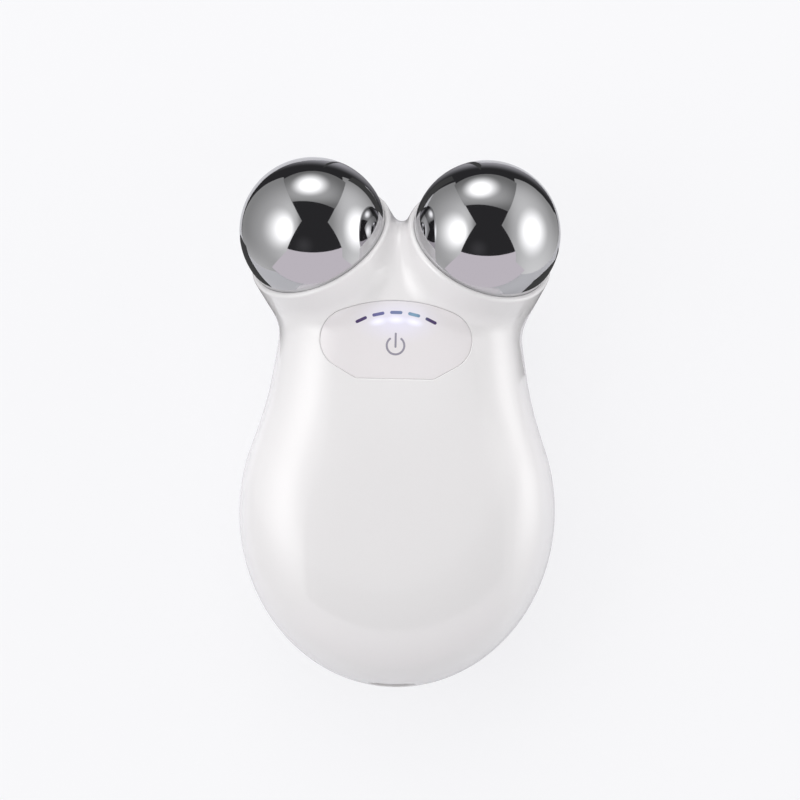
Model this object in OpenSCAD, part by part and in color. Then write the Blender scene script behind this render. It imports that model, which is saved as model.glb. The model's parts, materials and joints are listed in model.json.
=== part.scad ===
// Facial toning device: a pear-shaped two-part housing that holds two
// polished contact spheres in tilted cups, a sprung control key with five
// light windows, and the electronics behind them.
// The device lies on its back: +Z is the front, +Y points at the spheres.

/* [Housing] */
// Length from the tail to the tops of the spheres
body_l = 108; // [104:0.5:130]
// Width of the belly
body_w = 64.8; // [62:0.2:78]
// Width of the waist below the spheres
waist_w = 50.8; // [48:0.2:62]
// Height of the front face at the belly
face_h = 34; // [32:0.2:41]
// Drop of the front face per millimetre towards the spheres
face_fall = 0.055; // [0:0.005:0.08]
// Height of the parting plane between the two shells
split_h = 17; // [16:0.1:19]
// Wall thickness of the shells
wall = 2; // [1.7:0.1:2.4]

/* [Spheres] */
// Diameter of a contact sphere
sphere_d = 30; // [26:0.2:32]
// Free space between the two spheres
sphere_gap = 5.4; // [4.4:0.1:8]
// Height of the sphere centres
sphere_h = 26; // [25:0.2:29]
// Sideways lean of the cups, from straight ahead
cup_out = 30; // [24:1:34]
// Upward lean of the cups, from the parting plane
cup_up = 37; // [32:1:40]
// How far the cup rim lies behind the sphere centre
rim_back = 3.3; // [3:0.1:5]
// Gap between a sphere and its cup
cup_gap = 0.2; // [0.15:0.05:0.5]

/* [Control key] */
// Width of the key
key_w = 30.8; // [27:0.2:33]
// Height of the key along the body
key_l = 15.8; // [14:0.2:17]
// Seam between the key and the front shell
key_gap = 0.15; // [0.1:0.05:0.4]
// Travel of the key
key_travel = 0.4; // [0.25:0.05:0.6]
// Radius of the row of light windows
window_arc = 16.5; // [15:0.5:20]
// Length of one light window
window_l = 2.35; // [1.8:0.05:2.6]
// Width of one light window
window_w = 0.65; // [0.5:0.05:0.9]

/* [Inside] */
// Thickness of the main board
board_t = 1.2; // [1:0.1:1.6]
// Length of the battery
battery_l = 34; // [24:0.5:36]
// Width of the battery
battery_w = 20; // [14:0.5:20]
// Thickness of the battery
battery_t = 7; // [4:0.5:8]

/* [Hidden] */
$fn = 48;

// Colours
pearl = [0.93, 0.93, 0.93];
chrome = [0.78, 0.78, 0.80];
steel = [0.66, 0.67, 0.69];
brass = [0.80, 0.66, 0.36];
board_green = [0.08, 0.33, 0.20];
chip_black = [0.09, 0.09, 0.10];

// Proportions of the pear: the belly and the waist are two egg shapes
length_scale = body_l / 108;
tail_y = -body_l / 2;
belly_l = 36 * length_scale;
belly_y = tail_y + belly_l;
waist_l = 29.2 * length_scale;
waist_y = 11.5 * length_scale;
egg_up = face_h - split_h + 9.5;
egg_down = split_h + 9;
egg_blend = 8;
face_blend = 9;
ear_blend = 2.5;
flat_sink = 0.15;
core_y = 5 * length_scale;
fan = 0.75;

// Spheres and cups
sphere_r = sphere_d / 2;
cup_x = (sphere_d + sphere_gap) / 2;
cup_y = body_l / 2 - sphere_r;
cup_axis = [sin(cup_out) * cos(cup_up), cos(cup_out) * cos(cup_up), sin(cup_up)];
cup_c = [cup_x, cup_y, sphere_h];
lip_t = 0.8;
pocket_r = sphere_r + cup_gap;
ear_r = sqrt(pocket_r ^ 2 - rim_back ^ 2) + lip_t;
ear_l = 14;

// Joint between the shells
lap_h = 1.2;
lap_fit = 0.1;

// Heights of the key and board stack
key_top_y = 25 * length_scale;
key_r = 6.1;
key_side_x = key_w / 2 - key_r;
key_side_y = key_top_y - key_l / 2 - 0.05;
key_base_y = key_top_y - key_l;
key_rise = key_top_y - key_side_y;
key_arc_r = (key_side_x ^ 2 + key_rise ^ 2 - key_r ^ 2) / (2 * (key_rise - key_r));
key_slant = 59;
key_corner_r = 1;
key_wall = 0.9;
key_top_t = 1.5;
key_base_x = 7.6 * key_w / 30.8;
collar_t = 1.2;
flange_w = 0.9;
flange_t = 0.8;
seat_gap = 0.12;
flange_line = key_gap + collar_t;
seat_z = min([for (p = key_line(flange_line)) skin_z(p, -wall)]) - seat_gap;
key_z = seat_z - seat_gap;
window_y = key_top_y - 2.4;
window_step = 12.7;
guide_t = 1.2;
switch_y = key_top_y - 8.8;
switch_w = 6;
switch_body_h = 2.7;
plunger_h = 0.8;
plunger_r = 1.6;
board_top = key_z - flange_t - switch_body_h - plunger_h;
board_low = board_top - board_t;

// Main board outline, half of it
tail_wall_y = belly_y - reach([5.8, belly_y, board_top], [0, -1, 0], -wall, 0, 60, 20);
board_end_y = max(tail_y + 5, tail_wall_y + 0.3);
board_neck_y = tail_y + 15;
board_head_y = key_top_y + 0.5;

// Fixings: [x, y] of the posts
post_r = 2.4;
pilot_r = 0.85;
post_low = 10;
socket_h = 1.4;
gusset_t = 1;
gusset_reach = 1;
housing_posts = [
    [14.5, 2 * length_scale], [-14.5, 2 * length_scale],
    [11, tail_y + 20], [-11, tail_y + 20], [0, cup_y - 9.5]
];
board_posts = [[16, -12], [-16, -12], [11, tail_y + 25.5], [-11, tail_y + 25.5]];
carrier_x = cup_x + 0.6;
carrier_y = cup_y - 20;
carrier_top = split_h + 1.2;
carrier_t = 2;
carrier_arm = 3.6;
carrier_posts = [[carrier_x, carrier_y], [-carrier_x, carrier_y]];
boss_r = 3.2;
counter_r = 2.3;
seat_h = 6.5;

// Distances along a cup axis, behind the sphere centre
sphere_t = 1.3;
stud_r = 4;
spigot_r = 2.4;
carrier_boss_r = 6.4;
tag_t = 0.4;
tag_r = 3.4;
tag_clear = (sphere_h + tag_r * cos(cup_up) + 0.1 - carrier_top + carrier_t) / sin(cup_up);
carrier_boss_end = max(sphere_r + 6, tag_clear);
screw_r = 1;
seal_r = 0.7;
seal_ring_r = 4.8;

// Inlet
inlet_w = 8.9;
inlet_t = 3.2;
inlet_l = 7.3;
inlet_front = tail_y + 1.2;
inlet_z = board_low - inlet_t / 2;
inlet_leg = [0.5, 1.4];
inlet_leg_x = inlet_w / 2 - 0.05;
inlet_leg_y = inlet_front + inlet_l - 1.6;

// Battery and inner floor
battery_y = belly_y + 5 * length_scale;
plug_x = -6;
plug_y = belly_y + 12.5;
pad_w = battery_w / 2;
pad_l = battery_l * 0.7;
pad_t = 0.8;
pad_z = floor_z([pad_w / 2, battery_y - pad_l / 2], -wall) + 0.1;
battery_low = pad_z + pad_t;

// ---- Form of the housing -------------------------------------------------

// Smooth minimum and maximum: the two fields melt into each other over k
function soft_min(a, b, k) =
    let (h = max(k - abs(a - b), 0) / k) min(a, b) - h * h * k / 4;
function soft_max(a, b, k) = -soft_min(-a, -b, k);

// Egg with half-axes w across, l along, and its own height above and below
function egg(q, w, l) =
    let (
        h = q[2] > 0 ? egg_up : egg_down,
        near = norm([q[0] / w, q[1] / l, q[2] / h]),
        steep = norm([q[0] / w ^ 2, q[1] / l ^ 2, q[2] / h ^ 2])
    )
    near * (near - 1) / max(steep, 0.000001);

// Round-ended rod of radius r from a to b
function rod(p, a, b, r) =
    let (ab = b - a, t = max(0, min(1, (p - a) * ab / (ab * ab))))
    norm(p - a - t * ab) - r;

function mirrored(v) = [-v[0], v[1], v[2]];

// Distance-like field of the housing: negative inside, zero on the skin
function form(p) =
    let (
        belly = egg(p - [0, belly_y, split_h], body_w / 2, belly_l),
        waist = egg(p - [0, waist_y, split_h], waist_w / 2, waist_l),
        pear = soft_min(belly, waist, egg_blend),
        face = p[2] - face_h + face_fall * (p[1] - belly_y),
        faced = soft_max(pear, face, face_blend),
        ear_a = rod(p, cup_c, cup_c - ear_l * cup_axis, ear_r),
        ear_b = rod(mirrored(p), cup_c, cup_c - ear_l * cup_axis, ear_r),
        ears = soft_min(ear_a, ear_b, ear_blend),
        whole = soft_min(faced, ears, ear_blend),
        backed = soft_max(whole, -flat_sink - p[2], face_blend)
    )
    max(backed, -p[2]);

// Distance along the ray o + t d to the field value lvl, by halving
function reach(o, d, lvl, lo, hi, n) =
    n == 0 ? (lo + hi) / 2
    : let (m = (lo + hi) / 2)
        form(o + m * d) < lvl ? reach(o, d, lvl, m, hi, n - 1) : reach(o, d, lvl, lo, m, n - 1);

// Edge of the parting plane in direction u, seen from the core
function edge_point(u) =
    let (
        o = [0, core_y, split_h],
        d = [body_w / 2 * cos(u), body_l / 2 * sin(u), 0]
    )
    reach(o, d, 0, 0, 2, 20) * d;
function edge_line(cols) = [for (i = [0 : cols - 1]) edge_point(360 * i / cols)];

// Point of the level lvl on a ray that leaves the parting plane at the angle v:
// the ray starts short of the edge e and leans outwards as v falls to zero
function form_point(e, v, up, lvl) =
    let (
        o = [0, core_y, split_h] + fan * cos(v) * e,
        d = (1 - fan) * cos(v) * e + [0, 0, up * sin(v)]
    )
    o + reach(o, d, lvl, 0, 2, 20) * d;

function form_ring(edge, v, up, lvl) = [for (e = edge) form_point(e, v, up, lvl)];

function flat_ring(ring, z) = [for (p = ring) [p[0], p[1], z]];

// Height of the level lvl on the front side above the point p
function skin_z(p, lvl) =
    let (o = [p[0], p[1], split_h])
    split_h + reach(o, [0, 0, 1], lvl, 0, 30, 18);

// Height of the level lvl on the rear side below the point p
function floor_z(p, lvl) =
    let (o = [p[0], p[1], split_h])
    split_h - reach(o, [0, 0, -1], lvl, 0, 30, 18);

// Two triangles for the quad a b c d, split along its shorter diagonal
function quad(points, a, b, c, d) =
    norm(points[a] - points[c]) <= norm(points[b] - points[d])
    ? [[a, b, c], [a, c, d]]
    : [[a, b, d], [b, c, d]];

// Closed surface from one pole through stacked rings to the other pole
module skin(first, rings, last) {
    n = len(rings[0]);
    m = len(rings);
    end = 1 + m * n;
    points = concat([first], [for (r = rings) for (p = r) p], [last]);
    first_cap = [for (j = [0 : n - 1]) [0, 1 + (j + 1) % n, 1 + j]];
    sides = [
        for (i = [0 : m - 2]) for (j = [0 : n - 1])
            let (a = 1 + i * n, c = a + n, k = (j + 1) % n)
            each quad(points, a + j, a + k, c + k, c + j)
    ];
    last_cap = [for (j = [0 : n - 1]) [end, end - n + j, end - n + (j + 1) % n]];
    polyhedron(points, concat(first_cap, sides, last_cap), convexity = 6);
}

// ---- Outlines ------------------------------------------------------------

function arc(c, r, a0, a1, n) =
    [for (i = [0 : n]) let (a = a0 + (a1 - a0) * i / n) c + r * [cos(a), sin(a)]];

// Outline of the key, grown by d: a wide crown arc, round sides, a slanted chin
function key_line(d) =
    let (
        crown_c = [0, key_top_y - key_arc_r],
        side_c = [key_side_x, key_side_y],
        join = atan2(key_side_y - crown_c[1], key_side_x),
        chin_c = [key_base_x, key_base_y + key_corner_r]
    )
    concat(
        arc(side_c, key_r + d, -key_slant, join, 12),
        arc(crown_c, key_arc_r + d, join + 4, 176 - join, 10),
        arc([-side_c[0], side_c[1]], key_r + d, 180 - join, 180 + key_slant, 12),
        arc([-chin_c[0], chin_c[1]], key_corner_r + d, 180 + key_slant + 4, 270, 3),
        arc(chin_c, key_corner_r + d, 270, 356 - key_slant, 3)
    );

module slot(l, w) {
    square([l - w, w], center = true);
    translate([(l - w) / 2, 0]) circle(d = w);
    translate([(w - l) / 2, 0]) circle(d = w);
}

// Places its child at each light window
module at_windows() {
    for (i = [-2 : 2])
        translate([0, window_y - window_arc, 0])
            rotate(i * window_step)
                translate([0, window_arc, 0])
                    children();
}

// Sends its child's +Z along the cup axis, with its origin at the sphere centre
module on_cup(side) {
    mirror([side < 0 ? 1 : 0, 0, 0])
        translate(cup_c)
            rotate([0, 90 - cup_up, 90 - cup_out])
                children();
}

module at_both() {
    on_cup(1) children();
    on_cup(-1) children();
}

// Swept wire of radius r along a curve with four control points
function curve(c, t) =
    (1 - t) ^ 3 * c[0] + 3 * (1 - t) ^ 2 * t * c[1] + 3 * (1 - t) * t ^ 2 * c[2] + t ^ 3 * c[3];
function heading(c, t) =
    let (
        d = (1 - t) ^ 2 * (c[1] - c[0]) + 2 * (1 - t) * t * (c[2] - c[1]) + t ^ 2 * (c[3] - c[2])
    )
    d / norm(d);

module wire(c, r) {
    steps = 14;
    sides = 10;
    side_ref = [0.3, 0.2, 1];
    rings = [
        for (i = [0 : steps])
            let (
                t = i / steps,
                h = heading(c, t),
                raw = cross(h, cross(side_ref, h)),
                x = raw / norm(raw),
                y = cross(-h, x)
            )
            [
                for (j = [0 : sides - 1])
                    curve(c, t) + r * (cos(360 * j / sides) * x + sin(360 * j / sides) * y)
            ]
    ];
    skin(c[0], rings, c[3]);
}

// ---- Shells --------------------------------------------------------------

shell_cols = 92;
outer_rows = 20;
inner_rows = 7;
core_cols = 48;
core_rows = 7;

module front_body() {
    up = face_h - split_h;
    edge = edge_line(shell_cols);
    land = form_ring(edge, 0, up, -(wall + lap_fit) / 2);
    root = form_ring(edge, 0, up, -wall);
    outer = [
        for (i = [1 : outer_rows]) form_ring(edge, 90 - 90 * i / outer_rows, up, 0)
    ];
    inner = [
        for (i = [0 : inner_rows - 1]) form_ring(edge, 90 * i / inner_rows, up, -wall)
    ];
    rings = concat(
        outer,
        [land, flat_ring(land, split_h - lap_h), flat_ring(root, split_h - lap_h)],
        inner
    );
    skin(form_point(edge[0], 90, up, 0), rings, form_point(edge[0], 90, up, -wall));
}

module rear_body() {
    down = -split_h;
    step_z = split_h - lap_h - lap_fit;
    edge = edge_line(shell_cols);
    land = form_ring(edge, 0, down, -(wall - lap_fit) / 2);
    root = form_ring(edge, 0, down, -wall);
    inner = [
        for (i = [1 : inner_rows - 1]) form_ring(edge, 90 - 90 * i / inner_rows, down, -wall)
    ];
    outer = [
        for (i = [0 : outer_rows - 1]) form_ring(edge, 90 * i / outer_rows, down, 0)
    ];
    rings = concat(
        inner,
        [flat_ring(root, step_z), flat_ring(land, step_z), flat_ring(land, split_h)],
        outer
    );
    skin(form_point(edge[0], 90, down, -wall), rings, form_point(edge[0], 90, down, 0));
}

// Solids that end half-way into the wall, to trim posts and ribs
module front_core() {
    up = face_h - split_h;
    edge = edge_line(core_cols);
    base = form_ring(edge, 0, up, -wall / 2);
    sides = [
        for (i = [1 : core_rows]) form_ring(edge, 90 - 90 * i / core_rows, up, -wall / 2)
    ];
    skin(
        form_point(edge[0], 90, up, -wall / 2),
        concat(sides, [flat_ring(base, post_low - 1)]),
        [0, core_y, post_low - 1]
    );
}

module rear_core() {
    down = -split_h;
    edge = edge_line(core_cols);
    sides = [
        for (i = [0 : core_rows - 1]) form_ring(edge, 90 * i / core_rows, down, -wall / 2)
    ];
    skin([0, core_y, split_h], sides, form_point(edge[0], 90, down, -wall / 2));
}

// The room that a sphere and its rim leave in the shells
module cup_cut() {
    at_both() {
        sphere(r = pocket_r, $fn = 96);
        translate([0, 0, -rim_back]) cylinder(r = ear_r + 6, h = 2 * sphere_r);
    }
}

module posts(places, r, z0, z1) {
    for (p = places)
        translate([p[0], p[1], z0]) cylinder(r = r, h = z1 - z0);
}

// Crossed webs that stiffen the root of each post
module gussets(places, r, z0, z1) {
    long = 2 * (r + gusset_reach);
    for (p = places)
        translate([p[0], p[1], z0]) {
            translate([-long / 2, -gusset_t / 2, 0]) cube([long, gusset_t, z1 - z0]);
            translate([-gusset_t / 2, -long / 2, 0]) cube([gusset_t, long, z1 - z0]);
        }
}

// Rectangle with round corners
module rounded(w, l, r) {
    square([w - 2 * r, l], center = true);
    square([w, l - 2 * r], center = true);
    for (x = [r - w / 2, w / 2 - r])
        for (y = [r - l / 2, l / 2 - r])
            translate([x, y]) circle(r = r, $fn = 24);
}

module key_prism(d, z0, z1) {
    translate([0, 0, z0]) linear_extrude(z1 - z0) polygon(key_line(d));
}

module inlet_mouth(grow, depth) {
    translate([0, inlet_front, inlet_z])
        rotate([90, 0, 0])
            translate([0, 0, -depth])
                linear_extrude(depth + 6)
                    slot(inlet_w + 2 * grow, inlet_t + 2 * grow);
}

module front_shell() {
    color(pearl)
        difference() {
            union() {
                front_body();
                intersection() {
                    front_core();
                    union() {
                        difference() {
                            key_prism(flange_line, seat_z, face_h);
                            key_prism(key_gap, seat_z - 1, face_h + 1);
                        }
                        posts(housing_posts, post_r, post_low, face_h);
                        posts(board_posts, post_r, board_top, face_h);
                        posts(carrier_posts, post_r, carrier_top, face_h);
                        gussets(housing_posts, post_r, board_top + 5, face_h);
                        gussets(board_posts, post_r, board_top + 5, face_h);
                    }
                }
            }
            cup_cut();
            key_prism(key_gap, seat_z - 1, face_h + 2);
            key_prism(flange_w + 0.3, key_z - flange_t - key_travel - 0.4, seat_z);
            posts(housing_posts, pilot_r, post_low - 1, post_low + 9);
            posts(board_posts, pilot_r, board_top - 1, board_top + 3.5);
            posts(carrier_posts, pilot_r, carrier_top - 1, carrier_top + 5);
            inlet_mouth(0.25, 3.5);
        }
}

module rear_shell() {
    rib_x = battery_w / 2 + 0.4;
    color(pearl)
        difference() {
            union() {
                rear_body();
                intersection() {
                    rear_core();
                    union() {
                        posts(housing_posts, boss_r, 0, post_low + socket_h);
                        gussets(housing_posts, boss_r, 0, post_low - 3);
                        for (sx = [-1, 1])
                            for (y = [battery_y - battery_l / 4, battery_y + battery_l / 5])
                                translate([sx > 0 ? rib_x : -rib_x - 1.2, y - 3, 0])
                                    cube([1.2, 6, battery_low + battery_t * 0.6]);
                        for (y = [battery_y - battery_l / 2 - 1.5, battery_y + battery_l / 2 + 0.3])
                            translate([-5, y, 0])
                                cube([10, 1.2, battery_low + battery_t * 0.4]);
                    }
                }
            }
            cup_cut();
            posts(housing_posts, post_r + lap_fit, post_low, post_low + socket_h + 1);
            posts(housing_posts, counter_r, -1, seat_h);
            posts(housing_posts, screw_r + 0.15, -1, post_low + 1);
        }
}

// ---- Spheres -------------------------------------------------------------

module contact_sphere(side) {
    color(chrome)
        on_cup(side)
            difference() {
                sphere(r = sphere_r, $fn = 120);
                sphere(r = sphere_r - sphere_t, $fn = 120);
                translate([0, 0, -sphere_r - 1]) cylinder(r = stud_r, h = 5);
            }
}

module sphere_left() {
    contact_sphere(-1);
}

module sphere_right() {
    contact_sphere(1);
}

module sphere_studs() {
    plug_end = sqrt(sphere_r ^ 2 - stud_r ^ 2);
    color(brass)
        at_both()
            difference() {
                union() {
                    translate([0, 0, -plug_end]) cylinder(r = stud_r, h = 4);
                    translate([0, 0, -carrier_boss_end + 0.2])
                        cylinder(r = spigot_r, h = carrier_boss_end - plug_end);
                }
                translate([0, 0, -carrier_boss_end - 1]) cylinder(r = screw_r, h = 8.5);
            }
}

module seal_ring(r) {
    axial = sqrt((sphere_r + seal_r) ^ 2 - seal_ring_r ^ 2);
    translate([0, 0, -axial])
        rotate_extrude() translate([seal_ring_r, 0]) circle(r = r, $fn = 24);
}

module sphere_seals() {
    color([0.25, 0.25, 0.26]) at_both() seal_ring(seal_r);
}

// Outer side of an arm at y: it stays off the shell where the waist is narrow
function arm_side(y) =
    let (inside = reach([0, y, carrier_top], [1, 0, 0], -wall, 0, 60, 20))
    [min(carrier_x + carrier_arm, inside - 0.3), y];

// Bridge between the two bosses, with an arm to each post and two ribs below
module carrier_plate() {
    rib_t = 1.4;
    rib_h = 2;
    low = carrier_top - carrier_t - rib_h;
    tag_x = cup_x - carrier_boss_end * cup_axis[0];
    foot_x = min(5, tag_x - tag_r - 0.5);
    arm = [for (i = [0 : 4]) arm_side(carrier_y + 6 - (carrier_arm + 6) * i / 4)];
    outline = concat(
        [[0, cup_y - 4.5], [6, cup_y - 4.5]],
        arm,
        [[carrier_x - carrier_arm, carrier_y - carrier_arm], [6, cup_y - 15.5], [0, cup_y - 15.5]]
    );
    left = [for (i = [len(outline) - 2 : -1 : 1]) [-outline[i][0], outline[i][1]]];
    translate([0, 0, carrier_top - carrier_t])
        linear_extrude(carrier_t) polygon(concat(outline, left));
    translate([-7.5, cup_y - 6.2, low]) cube([15, rib_t, rib_h + 0.1]);
    translate([-foot_x, cup_y - 15.2, low]) cube([2 * foot_x, rib_t, rib_h + 0.1]);
}

module sphere_carrier() {
    color([0.82, 0.82, 0.80])
        difference() {
            union() {
                carrier_plate();
                at_both()
                    translate([0, 0, -carrier_boss_end])
                        cylinder(r = carrier_boss_r, h = carrier_boss_end - sphere_r + 2);
            }
            at_both() {
                sphere(r = sphere_r + 0.05, $fn = 96);
                translate([0, 0, -carrier_boss_end - 1]) cylinder(r = spigot_r + 0.1, h = 12);
                seal_ring(seal_r + 0.05);
            }
            posts([housing_posts[4]], post_r + 0.25, 0, split_h + 20);
            posts([housing_posts[4]], boss_r + 0.25, 0, post_low + socket_h + 0.25);
            posts(carrier_posts, screw_r + 0.15, carrier_top - 4, carrier_top + 1);
        }
}

// Pan-head screw with its seat at the origin and its shank along +Z
module screw(head_r, head_h, shank_r, shank_l) {
    profile = [
        [0, -head_h], [head_r * 0.6, -head_h], [head_r, -head_h * 0.5], [head_r, 0],
        [shank_r, 0], [shank_r, shank_l - shank_r], [shank_r * 0.4, shank_l], [0, shank_l]
    ];
    difference() {
        rotate_extrude() polygon(profile);
        translate([-head_r * 0.6, -0.2, -head_h - 0.1]) cube([head_r * 1.2, 0.4, 0.6]);
        translate([-0.2, -head_r * 0.6, -head_h - 0.1]) cube([0.4, head_r * 1.2, 0.6]);
    }
}

module sphere_screws() {
    color(steel)
        at_both()
            translate([0, 0, -carrier_boss_end - tag_t])
                screw(2.1, 1.3, screw_r, 6);
}

module contact_tags() {
    color(brass)
        at_both()
            translate([0, 0, -carrier_boss_end - tag_t])
                difference() {
                    union() {
                        cylinder(r = tag_r, h = tag_t);
                        translate([0, -1.3, 0]) cube([7.5, 2.6, tag_t]);
                    }
                    translate([0, 0, -1]) cylinder(r = screw_r + 0.1, h = 3);
                }
}

module carrier_screws() {
    color(steel)
        for (p = carrier_posts)
            translate([p[0], p[1], carrier_top - carrier_t])
                screw(2, 1.3, pilot_r, 5.5);
}

// Place of a tag's end in the housing, for a side of +1 or -1
function tag_end(side, off) =
    let (
        across = [sin(cup_up) * sin(cup_out), sin(cup_up) * cos(cup_out), -cos(cup_up)],
        p = cup_c - (carrier_boss_end + tag_t + off) * cup_axis + 6.2 * across
    )
    [side * p[0], p[1], p[2]];

module electrode_lead(side, shade) {
    lead_r = 0.55;
    from = tag_end(side, lead_r);
    pad = [side * 6, 4 * length_scale, board_low - lead_r];
    color(shade)
        wire([from, from + [side * 2, -6, -2], pad + [side * 3, 9, -6], pad], lead_r);
}

module electrode_lead_left() {
    electrode_lead(-1, [0.85, 0.85, 0.83]);
}

module electrode_lead_right() {
    electrode_lead(1, [0.72, 0.12, 0.10]);
}

// ---- Control key ---------------------------------------------------------

// Cap of the key: a flat underside, straight sides and a top on the form
module key_cap() {
    rows = 7;
    centre = [0, key_side_y];
    edge = key_line(0);
    side = flat_ring(edge, key_z);
    top = [
        for (i = [1 : rows])
            [
                for (p = edge)
                    let (q = centre + (p - centre) * i / rows) [q[0], q[1], skin_z(q, 0)]
            ]
    ];
    skin([centre[0], centre[1], skin_z(centre, 0)], concat(top, [side]), [0, key_side_y, key_z]);
}

module guide_plate(grow, z0, z1) {
    spread = 2.5 * window_step + grow * 3.5;
    c = [0, window_y - window_arc];
    r0 = window_arc - 1.5 - grow;
    r1 = window_arc + 1.3 + grow;
    line = concat(arc(c, r0, 90 - spread, 90 + spread, 12), arc(c, r1, 90 + spread, 90 - spread, 12));
    translate([0, 0, z0]) linear_extrude(z1 - z0) polygon(line);
}

// Hollow under the key: open around the plunger's boss, solid round the windows
module key_hollow() {
    low = key_z - flange_t - 1;
    top = skin_z([key_side_x, key_base_y + key_r], 0) - key_top_t;
    difference() {
        intersection() {
            key_prism(-key_wall, low, top);
            translate([-key_w / 2, key_base_y, low])
                cube([key_w, window_y - 4.2 - key_base_y, top - low]);
        }
        translate([0, switch_y, low]) cylinder(r = plunger_r + 1, h = top - low);
        translate([-key_w / 2, switch_y - 0.5, low]) cube([key_w, 1, top - low]);
        for (x = [-0.5, -key_w / 4 - 0.5, key_w / 4 - 0.5])
            translate([x, key_base_y, low]) cube([1, window_y - key_base_y, top - low]);
    }
}

module control_key() {
    color(pearl)
        difference() {
            union() {
                key_cap();
                key_prism(flange_w, key_z - flange_t, key_z);
            }
            at_windows()
                translate([0, 0, key_z - 2]) linear_extrude(20) slot(window_l, window_w);
            guide_plate(0.1, key_z - flange_t - 1, key_z - flange_t + guide_t);
            key_hollow();
        }
}

module light_guide() {
    tip_gap = 0.05;
    color([0.92, 0.94, 0.98])
        union() {
            guide_plate(0, key_z - flange_t, key_z - flange_t + guide_t);
            intersection() {
                key_cap();
                at_windows()
                    translate([0, 0, key_z - 0.2])
                        linear_extrude(20) slot(window_l - 2 * tip_gap, window_w - 2 * tip_gap);
            }
        }
}

module switch_plunger() {
    color([0.12, 0.12, 0.13])
        translate([0, switch_y, key_z - flange_t - plunger_h - 0.8])
            cylinder(r = plunger_r, h = plunger_h + 0.8);
}

// Tact switch: a square body with its cover's four studs, on four bent legs
module key_switch() {
    leg = [1.1, 0.7, 0.2];
    stud = switch_w / 2 - 0.8;
    color(steel)
        difference() {
            translate([0, switch_y, board_top]) {
                linear_extrude(switch_body_h) rounded(switch_w, switch_w, 0.5);
                for (x = [-1, 1])
                    for (y = [-1, 1]) {
                        translate([x * stud, y * stud, switch_body_h - 0.1])
                            cylinder(r = 0.35, h = 0.25);
                        translate([x > 0 ? switch_w / 2 - 0.1 : -switch_w / 2 + 0.1 - leg[0], 0, 0])
                            translate([0, y * 2.25 - leg[1] / 2, 0]) cube(leg);
                    }
            }
            translate([0, switch_y, board_top + switch_body_h - 1.8])
                cylinder(r = plunger_r + 0.1, h = 3);
        }
}

// Side-lead lamp: a base with its lens
module status_leds() {
    color([0.95, 0.93, 0.80])
        at_windows()
            translate([0, 0, board_top]) {
                translate([-1, -0.6, 0]) cube([2, 1.2, 0.35]);
                linear_extrude(0.8) rounded(1.3, 1, 0.2);
            }
}

// ---- Electronics ---------------------------------------------------------

module main_board() {
    half = [
        [0, board_head_y], [8.5, board_head_y], [11.5, board_head_y - 3],
        [11.5, 8 * length_scale], [19.5, 3 * length_scale - 4], [20, belly_y + 4],
        [19, tail_y + 27], [14, tail_y + 19.5], [6.8, board_neck_y], [5.8, board_end_y],
        [0, board_end_y]
    ];
    other = [for (i = [len(half) - 2 : -1 : 1]) [-half[i][0], half[i][1]]];
    color(board_green)
        difference() {
            translate([0, 0, board_low]) linear_extrude(board_t) polygon(concat(half, other));
            posts(housing_posts, post_r + 0.5, board_low - 1, board_top + 1);
            posts(board_posts, screw_r + 0.1, board_low - 1, board_top + 1);
            inlet_legs(0.15);
        }
}

module board_screws() {
    color(steel)
        for (p = board_posts)
            translate([p[0], p[1], board_low]) screw(1.9, 1.2, pilot_r, 4);
}

module block(x, y, w, l, t) {
    translate([x - w / 2, y - l / 2, board_low - t]) cube([w, l, t]);
}

// Row of n bent leads below the board, along Y at a pitch, pointing to +X
module lead_row(n, pitch, wide) {
    foot = [[0, 0], [1.1, 0], [1.1, -0.2], [0.65, -0.2], [0.45, -0.8], [0, -0.8]];
    for (i = [0 : n - 1])
        translate([0, (i - (n - 1) / 2) * pitch + wide / 2, board_low])
            rotate([90, 0, 0]) linear_extrude(wide) polygon(foot);
}

module controller_chip() {
    case_w = 7;
    color(chip_black)
        translate([-4, belly_y + 4, 0]) {
            block(0, 0, case_w, case_w, 1.4);
            for (a = [0, 90, 180, 270])
                rotate(a) translate([case_w / 2 - 0.1, 0, 0]) lead_row(8, 0.8, 0.35);
        }
}

module charger_chip() {
    case_w = 3.9;
    color(chip_black)
        translate([0, board_neck_y + 6, 0]) {
            block(0, 0, case_w, 4.9, 1.5);
            for (a = [0, 180])
                rotate(a) translate([case_w / 2 - 0.1, 0, 0]) lead_row(4, 1.27, 0.42);
        }
}

// Drum core with a wound waist
module boost_coil() {
    drum = [[0, 0], [4, 0], [4, 0.8], [3.5, 1.1], [3.5, 2.9], [4, 3.2], [4, 4], [0, 4]];
    color([0.20, 0.20, 0.21])
        translate([7, belly_y - 6, board_low - 4]) rotate_extrude() polygon(drum);
}

// Bobbin between two flanges, with the core's straps over it
module signal_transformer() {
    color([0.86, 0.74, 0.22])
        translate([8, belly_y + 7, board_low - 5]) {
            linear_extrude(0.9) rounded(9, 8, 0.6);
            linear_extrude(5) rounded(7.6, 6.6, 1.2);
            translate([0, 0, 4.1]) linear_extrude(0.9) rounded(9, 8, 0.6);
            for (x = [-4.5, 3.7]) translate([x, -1.8, 0]) cube([0.8, 3.6, 5]);
        }
}

module board_capacitors() {
    color([0.62, 0.50, 0.34]) {
        block(-12, belly_y - 6, 1.6, 3.2, 1.6);
        block(-9, belly_y - 6, 1.6, 3.2, 1.6);
        block(-12, belly_y + 13, 1.6, 3.2, 1.6);
        block(4, board_neck_y + 10, 1.25, 2, 1.25);
        block(-4, board_neck_y + 10, 1.25, 2, 1.25);
        block(0, 12 * length_scale, 1.25, 2, 1.25);
    }
}

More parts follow.
